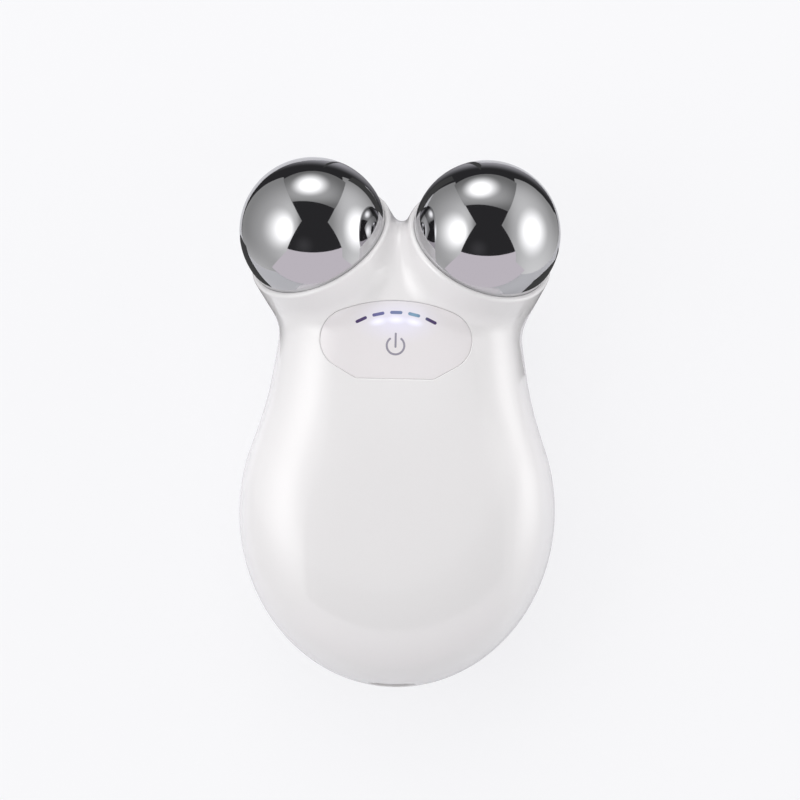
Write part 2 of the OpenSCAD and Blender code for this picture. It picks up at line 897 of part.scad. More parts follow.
module buzzer() {
    color(chip_black)
        translate([0, belly_y, board_top])
            rotate_extrude()
                polygon([[0, 0], [6, 0], [6, 3], [5.6, 3.4], [1, 3.4], [1, 2.4], [0, 2.4]]);
}

// Pouch with round edges, and its protection board at the lead end
module battery() {
    end_l = 3;
    color([0.55, 0.57, 0.60])
        translate([0, battery_y - battery_l / 2, battery_low]) {
            translate([0, 0, battery_t / 2])
                rotate([-90, 0, 0])
                    linear_extrude(battery_l - end_l) rounded(battery_w, battery_t, 1.5);
            translate([1 - battery_w / 2, battery_l - end_l - 0.1, 0.9])
                cube([battery_w - 2, end_l + 0.1, battery_t - 1.2]);
        }
}

module battery_pad() {
    color([0.20, 0.20, 0.20])
        translate([-pad_w / 2, battery_y - pad_l / 2, pad_z]) cube([pad_w, pad_l, pad_t]);
}

module battery_plug() {
    color([0.95, 0.94, 0.88]) block(plug_x, plug_y, 5, 5.6, 3.6);
}

module battery_leads() {
    lead_r = 0.5;
    color([0.75, 0.10, 0.08])
        for (i = [0, 1]) {
            from = [-3 - 2.2 * i, battery_y + battery_l / 2 + lead_r, battery_low + battery_t - 1.2];
            to = [plug_x + 0.6 - 1.2 * i, plug_y + 2.8 + lead_r, board_low - 1.6];
            wire([from, from + [0, 6, 2], to + [0, 5, -2], to], lead_r);
        }
}

// Legs that hold the inlet's shell in the board
module inlet_legs(grow) {
    for (x = [-inlet_leg_x, inlet_leg_x])
        translate([x, inlet_leg_y, inlet_z])
            linear_extrude(board_top + 0.4 - inlet_z)
                square([inlet_leg[0] + 2 * grow, inlet_leg[1] + 2 * grow], center = true);
}

module inlet_shell() {
    color(steel)
        difference() {
            union() {
                translate([0, inlet_front, inlet_z])
                    rotate([-90, 0, 0])
                        linear_extrude(inlet_l) slot(inlet_w, inlet_t);
                inlet_legs(0);
            }
            translate([0, inlet_front - 1, inlet_z])
                rotate([-90, 0, 0])
                    linear_extrude(inlet_l - 0.5) slot(inlet_w - 0.6, inlet_t - 0.6);
        }
}

// Contact tongue with its nose rounded, on a thicker root
module inlet_tongue() {
    tongue_l = inlet_l - 2.3;
    root = [6.8, 1.2, 2.2];
    color(chip_black)
        translate([0, inlet_front + 0.8, inlet_z]) {
            translate([0, tongue_l / 2, -0.35])
                linear_extrude(0.7) rounded(6.6, tongue_l, 0.6);
            translate([-root[0] / 2, tongue_l - root[1], -root[2] / 2]) cube(root);
        }
}

// ---- Housing fixings -----------------------------------------------------

module housing_screws() {
    color(steel)
        for (p = housing_posts)
            translate([p[0], p[1], seat_h]) screw(2, 1.4, pilot_r, 11);
}

module screw_plugs() {
    color([0.86, 0.86, 0.86])
        for (p = housing_posts)
            translate([p[0], p[1], 1.2]) cylinder(r = counter_r - 0.02, h = 1.6);
}

front_shell();
rear_shell();
sphere_left();
sphere_right();
sphere_studs();
sphere_seals();
sphere_carrier();
sphere_screws();
contact_tags();
carrier_screws();
electrode_lead_left();
electrode_lead_right();
control_key();
light_guide();
switch_plunger();
key_switch();
status_leds();
main_board();
board_screws();
controller_chip();
charger_chip();
boost_coil();
signal_transformer();
board_capacitors();
buzzer();
battery();
battery_pad();
battery_leads();
battery_plug();
inlet_shell();
inlet_tongue();
housing_screws();
screw_plugs();
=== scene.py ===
import json
import math

import bpy
import numpy as np
from mathutils import Euler, Matrix, Vector


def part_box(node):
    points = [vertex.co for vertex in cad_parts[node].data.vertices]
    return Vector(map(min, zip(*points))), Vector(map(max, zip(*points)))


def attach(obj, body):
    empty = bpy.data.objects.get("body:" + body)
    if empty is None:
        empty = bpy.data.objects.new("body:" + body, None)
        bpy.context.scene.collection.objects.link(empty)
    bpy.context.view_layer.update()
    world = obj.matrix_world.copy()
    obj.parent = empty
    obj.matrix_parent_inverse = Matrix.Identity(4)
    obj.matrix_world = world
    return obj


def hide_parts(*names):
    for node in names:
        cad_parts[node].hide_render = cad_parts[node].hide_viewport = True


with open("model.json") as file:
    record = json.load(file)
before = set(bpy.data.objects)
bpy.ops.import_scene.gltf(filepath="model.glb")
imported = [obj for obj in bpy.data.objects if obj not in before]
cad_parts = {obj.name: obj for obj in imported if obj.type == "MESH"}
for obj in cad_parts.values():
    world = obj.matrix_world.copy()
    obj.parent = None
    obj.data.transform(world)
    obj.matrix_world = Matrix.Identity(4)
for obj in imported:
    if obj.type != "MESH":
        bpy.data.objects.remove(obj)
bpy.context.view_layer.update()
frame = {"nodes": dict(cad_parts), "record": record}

bl_info = {
    "name": "Facial toning device",
    "version": (1, 0, 0),
    "blender": (4, 5, 0),
    "location": "3D View > Sidebar > Toning device",
    "description": "Housing, contact spheres, lit control key and studio of a toning device",
    "category": "Add Mesh",
}

MM = 0.001


# ---- Sizes taken from the frame, in millimetres ----------------------------------------------


def node_box(name):
    """Lowest and highest corner of a CAD node in millimetres."""
    low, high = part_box(name)
    return np.array(low) / MM, np.array(high) / MM


def to_tenth(value):
    """A size as the CAD source gives it, free of its mesh's rounding."""
    return np.round(np.asarray(value, float), 1)


SPHERE_BOX = node_box("sphere_right")
SPHERE_C = to_tenth((SPHERE_BOX[0] + SPHERE_BOX[1]) / 2)
SPHERE_R = float(to_tenth((SPHERE_BOX[1] - SPHERE_BOX[0]).max() / 2))
REAR_BOX = node_box("rear_shell")
BODY_W = float(to_tenth(REAR_BOX[1][0] - REAR_BOX[0][0]))
TAIL_Y = float(to_tenth(REAR_BOX[0][1]))
SPLIT_Z = float(to_tenth(REAR_BOX[1][2]))
BODY_L = float(SPHERE_C[1] + SPHERE_R - TAIL_Y)
KEY_BOX = node_box("control_key")
PLUG_BOX = node_box("screw_plugs")
INLET_BOX = node_box("inlet_shell")
TONGUE_BOX = node_box("inlet_tongue")

# Proportions of the housing that repeat the CAD source, in millimetres
BELLY_L = 36.0
BELLY_Y = TAIL_Y + BELLY_L
WAIST_L = 29.2
WAIST_Y = 11.5
CORE_Y = 5.0
EGG_OVER = 9.5
EGG_UNDER = 9.0
EGG_BLEND = 8.0
FACE_BLEND = 9.0
EAR_BLEND = 2.5
EAR_L = 14.0
FLAT_SINK = 0.15
HOUSING_POSTS = np.array([[14.5, 2.0], [-14.5, 2.0], [11.0, -34.0], [-11.0, -34.0], [0.0, 29.5]])
COUNTER_R = 2.3
BOSS_R = 3.2
SEAT_Z = 6.5
# The key and its windows, in millimetres and degrees
KEY_TOP_Y = 25.0
KEY_SIDE_R = 6.1
KEY_SIDE_DROP = 0.05
KEY_CORNER_R = 1.0
KEY_SLANT = 59.0
KEY_CHIN = 7.6 / 30.8
FLANGE_W = 0.9
FLANGE_T = 0.8
WINDOW_STEP = 12.7
WINDOW_DROP = 2.4
GUIDE_T = 1.2
# The charging inlet, in millimetres
INLET_W = 8.9
INLET_T = 3.2
INLET_Z = float((TONGUE_BOX[0][2] + TONGUE_BOX[1][2]) / 2)
TONGUE_W = 6.6
TONGUE_T = 0.7

# How the skin is meshed: columns round the body and rows from a pole to the parting plane, the
# share of the way to the edge at which a ray starts, the steps that find the skin and a cut,
# the share of its shortest edge within which a point is drawn onto a cut, the least cosine
# that a slide along the skin is divided by, and how near a point must be to the skin in
# millimetres, and its face to the field's normal in degrees, to count
COLUMNS = 360
ROWS = 84
FAN = 0.75
HALVINGS = 28
NEWTON_STEPS = 6
CLOSE = 0.3
LEAST_COSINE = 0.2
SKIN_NEAR = 0.004
SKIN_LEAN = 38.0
FAR = 99.0  # distance in millimetres that is clear of every opening


# ---- Properties ------------------------------------------------------------------------------


def length(name, mm, description):
    """A size in metres whose default is given in millimetres."""
    return bpy.props.FloatProperty(
        name=name, description=description, default=mm * MM, min=0.0, unit="LENGTH", precision=5
    )


def angle(name, degrees, description):
    """An angle whose default is given in degrees."""
    return bpy.props.FloatProperty(
        name=name, description=description, default=math.radians(degrees), subtype="ANGLE"
    )


def linear(code):
    """Linear colour of an sRGB hex code such as #E6E4E6."""
    parts = [int(code[i : i + 2], 16) / 255 for i in (1, 3, 5)]
    return [c / 12.92 if c <= 0.04045 else ((c + 0.055) / 1.055) ** 2.4 for c in parts] + [1.0]


def colour(name, code, description):
    """A colour whose default is given as an sRGB hex code."""
    return bpy.props.FloatVectorProperty(
        name=name, description=description, default=linear(code), size=4, min=0.0, max=1.0,
        subtype="COLOR",
    )


class HousingSizes(bpy.types.PropertyGroup):
    """Sizes of the shells and of the cups that hold the spheres."""

    body_width: length("Body width", BODY_W, "Width of the belly")
    waist_width: length("Waist width", 50.8, "Width of the waist below the spheres")
    face_height: length("Face height", 34.0, "Height of the front face at the belly")
    face_fall: bpy.props.FloatProperty(
        name="Face fall", description="Drop of the front face per length towards the spheres",
        default=0.055, subtype="FACTOR",
    )
    wall: length("Wall", 2.0, "Wall thickness of the shells")
    cup_out: angle("Cup out", 30.0, "Sideways lean of the cups, from straight ahead")
    cup_up: angle("Cup up", 37.0, "Upward lean of the cups, from the parting plane")
    rim_back: length("Rim back", 3.3, "How far the cup rim lies behind the sphere centre")
    cup_gap: length("Cup gap", 0.2, "Gap between a sphere and its cup")
    cup_lip: length("Cup lip", 0.8, "Width of the cup wall at its rim")
    cup_seam: length("Cup seam", 0.03, "Visible seam between a sphere and its cup")
    rim_round: length("Rim rounding", 0.75, "Rounding of the cup rims")
    seam_round: length("Seam rounding", 0.3, "Rounding of the edges along the key seam")
    groove_depth: length("Groove depth", 0.18, "Depth of the groove between the two shells")
    groove_width: length("Groove width", 0.22, "Width of the groove between the two shells")


class KeySizes(bpy.types.PropertyGroup):
    """Sizes of the control key, its windows and its sign."""

    width: length("Key width", 30.8, "Width of the control key")
    height: length("Key height", 15.8, "Height of the control key along the body")
    sunk: length("Key step", 0.2, "Step from the shell down to the key's top")
    gap: length("Key gap", 0.02, "Seam between the key and the front shell")
    window_arc: length("Window arc", 16.5, "Radius of the row of light windows")
    window_length: length("Window length", 2.5, "Length of one light window")
    window_width: length("Window width", 0.65, "Width of one light window")
    sign_radius: length("Sign radius", 1.78, "Radius of the power sign's stroke")
    sign_stroke: length("Sign stroke", 0.42, "Width of the stroke of the power sign")
    sign_y: length("Sign height", 15.9, "Place of the power sign along the body")


class Finishes(bpy.types.PropertyGroup):
    """Colours of the pieces that show."""

    shell: colour("Shell", "#E8E6E7", "Pearl white of the two shells")
    key: colour("Key", "#E6E2E4", "Pearl white of the control key")
    chrome: colour("Chrome", "#C9C9CB", "Mirror chrome of the contact spheres")
    sign: colour("Sign", "#928E9B", "Printed power sign")
    plug: colour("Plugs", "#DAD8DA", "Rubber plugs over the housing screws")
    glow: colour("Glow", "#DCE6FF", "Light of the diodes through the key")


class StudioSettings(bpy.types.PropertyGroup):
    """Camera and floor."""

    distance: bpy.props.FloatProperty(
        name="Camera distance", description="Distance of the camera from the parting plane",
        default=0.983, min=0.3, unit="LENGTH",
    )
    yaw: angle("Yaw", 3.8, "Turn of the camera to the right of straight above")
    roll: angle("Roll", 1.2, "Roll of the camera about its view")
    field: length("Field", 164.2, "Width of the picture at the height of the parting plane")
    centre_x: length("Centre across", 0.15, "Place of the picture's middle across the body")
    centre_y: length("Centre along", 4.9, "Place of the picture's middle along the body")
    floor: colour("Floor", "#F8F8FA", "Colour of the floor and the background")


class TonerSettings(bpy.types.PropertyGroup):
    """All settings of the toning device, as the scene holds them."""

    housing: bpy.props.PointerProperty(
        type=HousingSizes, name="Housing", description="Sizes of the housing"
    )
    key: bpy.props.PointerProperty(
        type=KeySizes, name="Key", description="Sizes of the control key"
    )
    finishes: bpy.props.PointerProperty(type=Finishes, name="Finishes", description="Colours")
    studio: bpy.props.PointerProperty(
        type=StudioSettings, name="Studio", description="Camera and floor"
    )


# ---- Form of the housing ---------------------------------------------------------------------


def soft_min(a, b, k):
    """Smooth minimum: two fields melt into each other where they differ by less than k."""
    h = np.maximum(k - np.abs(a - b), 0.0) / k
    return np.minimum(a, b) - h * h * k / 4


def soft_max(a, b, k):
    """Smooth maximum: the smooth minimum of the mirrored fields, mirrored back."""
    return -soft_min(-a, -b, k)


def unit(v):
    """Vectors made one long."""
    return v / np.maximum(np.linalg.norm(v, axis=-1, keepdims=True), 1e-12)


def dot(a, b):
    """Scalar products along the last axis."""
    return (a * b).sum(-1)


def gradient(field, p):
    """Gradient of a field at points, by central differences."""
    step = 1e-3
    sides = [field(p + step * e) - field(p - step * e) for e in np.eye(3)]
    return np.stack(sides, -1) / (2 * step)


class Form:
    """The housing's skin as a field in millimetres: negative inside, zero on the skin.

    Two eggs, the belly and the waist, melt together, a slanted face cuts their top softly, two
    round-ended rods behind the spheres melt on as ears, and a flat back cuts the underside."""

    def __init__(self, sizes):
        self.body_w = sizes.body_width / MM
        self.waist_w = sizes.waist_width / MM
        self.face_h = sizes.face_height / MM
        self.fall = sizes.face_fall
        self.rim_back = sizes.rim_back / MM
        self.pocket_r = SPHERE_R + sizes.cup_seam / MM
        cup_r = SPHERE_R + sizes.cup_gap / MM
        self.ear_r = math.sqrt(cup_r**2 - self.rim_back**2) + sizes.cup_lip / MM
        out, up = sizes.cup_out, sizes.cup_up
        self.axis = np.array(
            [math.sin(out) * math.cos(up), math.cos(out) * math.cos(up), math.sin(up)]
        )

    def egg(self, q, half_w, half_l):
        """Egg with its own height above and below: (n - 1) n / |gradient| of its norm n."""
        h = np.where(q[..., 2] > 0, self.face_h - SPLIT_Z + EGG_OVER, SPLIT_Z + EGG_UNDER)
        near = np.sqrt((q[..., 0] / half_w) ** 2 + (q[..., 1] / half_l) ** 2 + (q[..., 2] / h) ** 2)
        steep = np.sqrt(
            (q[..., 0] / half_w**2) ** 2 + (q[..., 1] / half_l**2) ** 2 + (q[..., 2] / h**2) ** 2
        )
        return near * (near - 1) / np.maximum(steep, 1e-6)

    def ear(self, p):
        """Distance to a round-ended rod that runs back from the sphere centre."""
        back = -EAR_L * self.axis
        t = np.clip(dot(p - SPHERE_C, back) / dot(back, back), 0, 1)
        return np.linalg.norm(p - SPHERE_C - t[..., None] * back, axis=-1) - self.ear_r

    def at(self, p):
        """Value of the whole field at points."""
        belly = self.egg(p - [0, BELLY_Y, SPLIT_Z], self.body_w / 2, BELLY_L)
        waist = self.egg(p - [0, WAIST_Y, SPLIT_Z], self.waist_w / 2, WAIST_L)
        face = p[..., 2] - self.face_h + self.fall * (p[..., 1] - BELLY_Y)
        faced = soft_max(soft_min(belly, waist, EGG_BLEND), face, FACE_BLEND)
        ears = soft_min(self.ear(p), self.ear(p * [-1, 1, 1]), EAR_BLEND)
        whole = soft_min(faced, ears, EAR_BLEND)
        return np.maximum(soft_max(whole, -FLAT_SINK - p[..., 2], FACE_BLEND), -p[..., 2])

    def normal(self, p):
        """Outward normal: the field's gradient made one long."""
        return unit(gradient(self.at, p))

    def reach(self, start, way, far=2.0):
        """Share of the ray start + t way at which it leaves the form, by halving."""
        low = np.zeros(np.broadcast(start[..., 0], way[..., 0]).shape)
        high = np.full(low.shape, far)
        for _ in range(HALVINGS):
            middle = (low + high) / 2
            inside = self.at(start + middle[..., None] * way) < 0
            low, high = np.where(inside, middle, low), np.where(inside, high, middle)
        return (low + high) / 2

    def height(self, xy):
        """Height of the front skin over points of the parting plane."""
        tall = 30.0
        start = np.concatenate([xy, np.full(xy.shape[:-1] + (1,), SPLIT_Z)], -1)
        way = np.zeros_like(start) + [0, 0, tall]
        return SPLIT_Z + tall * self.reach(start, way, 1.0)

    def edge(self, columns):
        """Outline of the skin in the parting plane, seen from the core."""
        u = np.linspace(0, 2 * math.pi, columns, endpoint=False)
        way = np.stack([self.body_w / 2 * np.cos(u), BODY_L / 2 * np.sin(u), 0 * u], -1)
        return self.reach(np.array([0, CORE_Y, SPLIT_Z]), way)[:, None] * way

    def grid(self, columns, rows):
        """Closed grid over the whole skin, from the front pole to the rear pole.

        A ray of the angle v starts at the core plus FAN cos(v) of the edge point and runs along
        (1 - FAN) cos(v) of it plus sin(v) of the height, out to the skin."""
        core = np.array([0, CORE_Y, SPLIT_Z])
        edge = self.edge(columns)
        v = np.linspace(math.pi / 2, -math.pi / 2, 2 * rows + 1)[:, None, None]
        rise = np.where(v > 0, self.face_h - SPLIT_Z, SPLIT_Z) * np.sin(v) * [0, 0, 1]
        start = core + FAN * np.cos(v) * edge[None]
        way = (1 - FAN) * np.cos(v) * edge[None] + rise
        return start + self.reach(start, way)[..., None] * way


# ---- Mesh helpers ----------------------------------------------------------------------------


def quads(points, a, b, c, d):
    """Triangles of the quads a b c d, each split along its shorter diagonal."""
    corners = np.stack([a, b, c, d], -1).reshape(-1, 4)
    p = points[corners]
    first = np.linalg.norm(p[:, 0] - p[:, 2], axis=1) <= np.linalg.norm(p[:, 1] - p[:, 3], axis=1)
    a, b, c, d = corners.T
    one = np.where(first[:, None], np.stack([a, b, c], 1), np.stack([a, b, d], 1))
    two = np.where(first[:, None], np.stack([a, c, d], 1), np.stack([b, c, d], 1))
    return np.concatenate([one, two])


def closed_rings(rings):
    """Points and triangles of rings (rows, columns, 3) whose first and last row are poles."""
    rows, columns = rings.shape[:2]
    points = np.concatenate([rings[:1, 0], rings[1:-1].reshape(-1, 3), rings[-1:, 0]])
    j = np.arange(columns)
    k = (j + 1) % columns
    base = 1 + columns * np.arange(rows - 2)[:, None]
    first = np.stack([0 * j, 1 + j, 1 + k], 1)
    end = len(points) - 1
    last = np.stack([0 * j + end, base[-1] + k, base[-1] + j], 1)
    sides = quads(points, base[:-1] + j, base[1:] + j, base[1:] + k, base[:-1] + k)
    return points, np.concatenate([first, sides, last])


def used_only(points, faces):
    """Drops the points that no face uses and numbers the rest anew."""
    keep = np.unique(faces)
    number = np.full(len(points), -1)
    number[keep] = np.arange(len(keep))
    return points[keep], number[faces]


def trim(points, faces, side, settle):
    """Keeps the part of a surface where side(p) is positive.

    Points close to the cut are drawn onto it, an edge that crosses it gets a point on it, and
    settle brings both onto the surface and the cut at once."""
    s = side(points)
    pairs = np.sort(faces[:, [0, 1, 1, 2, 2, 0]].reshape(-1, 2), axis=1)
    code, place = np.unique(pairs[:, 0] * len(points) + pairs[:, 1], return_inverse=True)
    a, b = code // len(points), code % len(points)
    span = np.linalg.norm(points[a] - points[b], axis=1)
    shortest = np.full(len(points), np.inf)
    np.minimum.at(shortest, a, span)
    np.minimum.at(shortest, b, span)
    near = np.abs(s) < CLOSE * shortest
    points = points.copy()
    points[near] = settle(points[near], side)
    s = np.where(near, 0.0, s)
    crossing = s[a] * s[b] < 0
    share = (s[a] / np.where(crossing, s[a] - s[b], 1.0))[crossing, None]
    added = settle(points[a[crossing]] * (1 - share) + points[b[crossing]] * share, side)
    middle = np.full(len(code), -1)
    middle[crossing] = len(points) + np.arange(crossing.sum())
    middle = middle[place].reshape(-1, 3)
    sign = np.sign(s)[faces]
    kept = [faces[(sign >= 0).all(1) & (sign > 0).any(1)]]
    for r in range(3):
        p, q, w = (faces[:, (r + i) % 3] for i in range(3))
        pq, qw, wp = (middle[:, (r + i) % 3] for i in range(3))
        sp, sq, sw = (sign[:, (r + i) % 3] for i in range(3))
        for mask, corners in (
            ((sp > 0) & (sq < 0) & (sw < 0), (p, pq, wp)),
            ((sp > 0) & (sq > 0) & (sw < 0), (p, q, qw)),
            ((sp > 0) & (sq > 0) & (sw < 0), (p, qw, wp)),
            ((sp > 0) & (sq == 0) & (sw < 0), (p, q, wp)),
            ((sp > 0) & (sq < 0) & (sw == 0), (p, pq, w)),
        ):
            kept.append(np.stack(corners, 1)[mask])
    return used_only(np.concatenate([points, added]), np.concatenate(kept))


def open_edges(faces):
    """Directed edges that only one face uses."""
    edges = np.concatenate([faces[:, [0, 1]], faces[:, [1, 2]], faces[:, [2, 0]]])
    big = faces.max() + 1
    lonely = ~np.isin(edges[:, 0] * big + edges[:, 1], edges[:, 1] * big + edges[:, 0])
    return edges[lonely]


def settler(form):
    """A function that moves points onto the skin and onto side = 0, by a few Newton steps."""

    def settle(p, side):
        for _ in range(NEWTON_STEPS):
            n = form.normal(p)
            g = gradient(side, p)
            g = g - dot(g, n)[:, None] * n
            p = p - (side(p) / np.maximum(dot(g, g), 1e-9))[:, None] * g
            slope = gradient(form.at, p)
            p = p - (form.at(p) / np.maximum(dot(slope, slope), 1e-9))[:, None] * slope
        return p

    return settle


def bend(a, k, b, steps):
    """Points of the curve from a to b that leaves along a-k and arrives along k-b."""
    t = (np.arange(1, steps + 1) / steps)[:, None, None]
    return list((1 - t) ** 2 * a + 2 * t * (1 - t) * k + t**2 * b)


def hole_rows(p, normal, into, axis, way, rounding, stops):
    """Rows of the wall of an opening, from the rounded edge inwards.

    p are the points of the edge, into points from the opening into the material, way is +1 or
    -1 along the axis, and stops are (offset into the material, place along the axis)."""
    deep = np.zeros(3)
    deep[axis] = way
    slide = unit(-into + dot(into, normal)[:, None] * normal)
    corner = p + slide * (rounding / np.maximum(-dot(slide, into), LEAST_COSINE))[:, None]
    rows = bend(p, corner, corner + rounding * deep, 5)
    for offset, place in stops:
        row = corner + offset * into
        row[:, axis] = place
        rows.append(row)
    return rows


class Piece:
    """Points and triangles of one solid, gathered from its surfaces."""

    def __init__(self):
        self.points = np.zeros((0, 3))
        self.faces = np.zeros((0, 3), int)

    def add(self, points, faces):
        """Adds a surface and returns the number of its first point."""
        start = len(self.points)
        self.points = np.concatenate([self.points, points])
        self.faces = np.concatenate([self.faces, faces + start])
        return start

    def wall(self, edges, rows, last):
        """Hangs rows of points from open edges, and joins them to the numbers that last gives."""
        ids = np.unique(edges)
        i, j = np.searchsorted(ids, edges).T
        ring = ids
        for row in rows + [None]:
            if row is None:
                lower = last(ids)
            else:
                lower = self.add(row, np.zeros((0, 3), int)) + np.arange(len(ids))
            upper = np.stack([ring[j], ring[i], lower[i]], 1)
            self.faces = np.concatenate(
                [self.faces, upper, np.stack([ring[j], lower[i], lower[j]], 1)]
            )
            ring = lower


def lined(points, faces, lining, borders):
    """Closed solid of a skin, its lining and the walls at its open borders.

    borders are (side function, row function): a border's edges are those where side is zero."""
    piece = Piece()
    piece.add(points, faces)
    inner = piece.add(lining, faces[:, ::-1])
    edges = open_edges(faces)
    for side, rows in borders:
        mine = edges[(np.abs(side(points[edges])) < 1e-3).all(1)]
        piece.wall(mine, rows(points[np.unique(mine)]), lambda k: k + inner)
    return piece.points, piece.faces


def joined(parts):
    """Points and triangles of several solids as one mesh."""
    piece = Piece()
    for points, faces in parts:
        piece.add(points, faces)
    return piece.points, piece.faces


def new_object(name, points, faces):
    """Object in metres from points in millimetres and triangles."""
    mesh = bpy.data.meshes.new(name)
    mesh.vertices.add(len(points))
    mesh.vertices.foreach_set("co", (points * MM).astype(np.float32).ravel())
    mesh.loops.add(faces.size)
    mesh.loops.foreach_set("vertex_index", faces.astype(np.int32).ravel())
    mesh.polygons.add(len(faces))
    mesh.polygons.foreach_set("loop_start", np.arange(0, faces.size, 3, dtype=np.int32))
    mesh.update(calc_edges=True)
    mesh.validate()
    thing = bpy.data.objects.new(name, mesh)
    bpy.context.scene.collection.objects.link(thing)
    return thing


def cut_away(thing, cutter):
    """Takes the cutter's solid from the thing, and removes the cutter."""
    carve = thing.modifiers.new("carve", "BOOLEAN")
    carve.operation = "DIFFERENCE"
    carve.solver = "MANIFOLD"
    carve.object = cutter
    graph = bpy.context.evaluated_depsgraph_get()
    mesh = bpy.data.meshes.new_from_object(thing.evaluated_get(graph))
    if len(mesh.polygons) == 0:
        raise RuntimeError(f"cutting {thing.name} left nothing")
    thing.modifiers.clear()
    thing.data = mesh
    mesh.name = thing.name
    bpy.data.objects.remove(cutter)


def values(items, attribute, width=1, kind=float):
    """One attribute of all items of a mesh, as an array with rows of this width."""
    rows = np.zeros(len(items) * width, kind)
    items.foreach_get(attribute, rows)
    return rows.reshape(-1, width) if width > 1 else rows


def soften(thing, sharp=32.0, form=None):
    """Smooth shading with creases over an angle. Where a face lies on the form's skin, its
    corners take the field's own normal, so that cuts and slivers leave no dent in the gloss."""
    mesh = thing.data
    mesh.polygons.foreach_set("use_smooth", np.ones(len(mesh.polygons), bool))
    mesh.set_sharp_from_angle(angle=math.radians(sharp))
    if form is None:
        return
    points = values(mesh.vertices, "co", 3) / MM
    corners = values(mesh.loops, "vertex_index", 1, int)
    face = np.repeat(np.arange(len(mesh.polygons)), values(mesh.polygons, "loop_total", 1, int))
    flat = values(mesh.polygons, "normal", 3)[face]
    own = values(mesh.corner_normals, "vector", 3)
    slope = form.normal(points)[corners]
    on_skin = (np.abs(form.at(points)) < SKIN_NEAR)[corners]
    agrees = dot(slope, flat) > math.cos(math.radians(SKIN_LEAN))
    mesh.normals_split_custom_set(np.where((on_skin & agrees)[:, None], slope, own).tolist())


def make_piece(name, solid, body, material, stands_for=(), sharp=32.0, form=None, cuts=()):
    """Adds a solid as a piece, with its cuts, shading and material and the body it rides on, and
    hides the CAD nodes it stands for."""
    thing = new_object(name, *solid)
    for cutter in cuts:
        cut_away(thing, new_object("cutter", *cutter))
    soften(thing, sharp, form)
    thing.data.materials.clear()
    thing.data.materials.append(material)
    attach(thing, body)
    if stands_for:
        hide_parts(*stands_for)


# ---- Outlines --------------------------------------------------------------------------------


def arc(centre, radius, start, stop, count):
    """Points of a circle in the plane between two angles in degrees."""
    a = np.radians(np.linspace(start, stop, count))
    return np.asarray(centre) + radius * np.stack([np.cos(a), np.sin(a)], -1)


def resample(line, count):
    """Closed outline with count points at even distances along it."""
    loop = np.concatenate([line, line[:1]])
    run = np.concatenate([[0], np.cumsum(np.linalg.norm(np.diff(loop, axis=0), axis=1))])
    at = np.linspace(0, run[-1], count, endpoint=False)
    return np.stack([np.interp(at, run, loop[:, i]) for i in (0, 1)], -1)


def outline_normals(line):
    """Outward unit normals of a closed outline that runs anticlockwise."""
    along = unit(np.roll(line, -1, 0) - np.roll(line, 1, 0))
    return np.stack([along[:, 1], -along[:, 0]], -1)


def stadium(size, thick, count=48):
    """Outline of a slot with round ends, anticlockwise about the origin."""
    half = (size - thick) / 2
    right = arc([half, 0], thick / 2, -90, 90, count // 2)
    return np.concatenate([right, -right])


def key_outline(key):
    """Crown arc, two round sides and a slanted chin, anticlockwise from the right chin slant."""
    half = key.width / MM / 2
    side = np.array([half - KEY_SIDE_R, KEY_TOP_Y - key.height / MM / 2 - KEY_SIDE_DROP])
    rise = KEY_TOP_Y - side[1]
    crown_r = (side[0] ** 2 + rise**2 - KEY_SIDE_R**2) / (2 * (rise - KEY_SIDE_R))
    crown = np.array([0, KEY_TOP_Y - crown_r])
    join = math.degrees(math.atan2(side[1] - crown[1], side[0]))
    chin = np.array([KEY_CHIN * key.width / MM, KEY_TOP_Y - key.height / MM + KEY_CORNER_R])
    flip = np.array([-1, 1])
    return resample(
        np.concatenate([
            arc(side, KEY_SIDE_R, -KEY_SLANT, join, 60),
            arc(crown, crown_r, join + 1, 179 - join, 60),
            arc(side * flip, KEY_SIDE_R, 180 - join, 180 + KEY_SLANT, 60),
            arc(chin * flip, KEY_CORNER_R, 180 + KEY_SLANT, 270, 12),
            arc(chin, KEY_CORNER_R, 270, 360 - KEY_SLANT, 12),
        ]),
        360,
    )


def outline_distance(p, line):
    """Distance of points to a convex anticlockwise outline in the plane, negative inside. Points
    well away from it get their distance to its middle."""
    xy = p[..., :2]
    a = line
    b = np.roll(line, -1, 0)
    way = b - a
    margin = 3
    near = (np.abs(xy - line.mean(0)) < np.ptp(line, axis=0) / 2 + margin).all(-1)
    result = np.linalg.norm(xy - line.mean(0), axis=-1)
    q = xy[near][:, None] - a
    t = np.clip(dot(q, way) / dot(way, way), 0, 1)
    gap = np.linalg.norm(q - t[..., None] * way, axis=-1).min(1)
    outside = (way[:, 0] * q[..., 1] - way[:, 1] * q[..., 0] < 0).any(1)
    result[near] = np.where(outside, gap, -gap)
    return result


def windows(key):
    """Centres of the light windows, and the angle that each leans from upright."""
    arc_r = key.window_arc / MM
    lean = np.radians(WINDOW_STEP * np.arange(2, -3, -1))
    top = KEY_TOP_Y - WINDOW_DROP
    return np.stack([-arc_r * np.sin(lean), top - arc_r + arc_r * np.cos(lean)], -1), lean


def guide_outline(key, grow):
    """Bowed plate under the light windows: two arcs, anticlockwise, grown by a play."""
    centre = [0, KEY_TOP_Y - WINDOW_DROP - key.window_arc / MM]
    # Half a step past the outer windows, and 3.5 degrees for each millimetre grown
    spread = 2.5 * WINDOW_STEP + 3.5 * grow
    below, above = 1.5 + grow, 1.3 + grow
    low, high = key.window_arc / MM - below, key.window_arc / MM + above
    inner = arc(centre, low, 90 + spread, 90 - spread, 40)
    return np.concatenate([inner, arc(centre, high, 90 - spread, 90 + spread, 40)])


# ---- Solids ----------------------------------------------------------------------------------


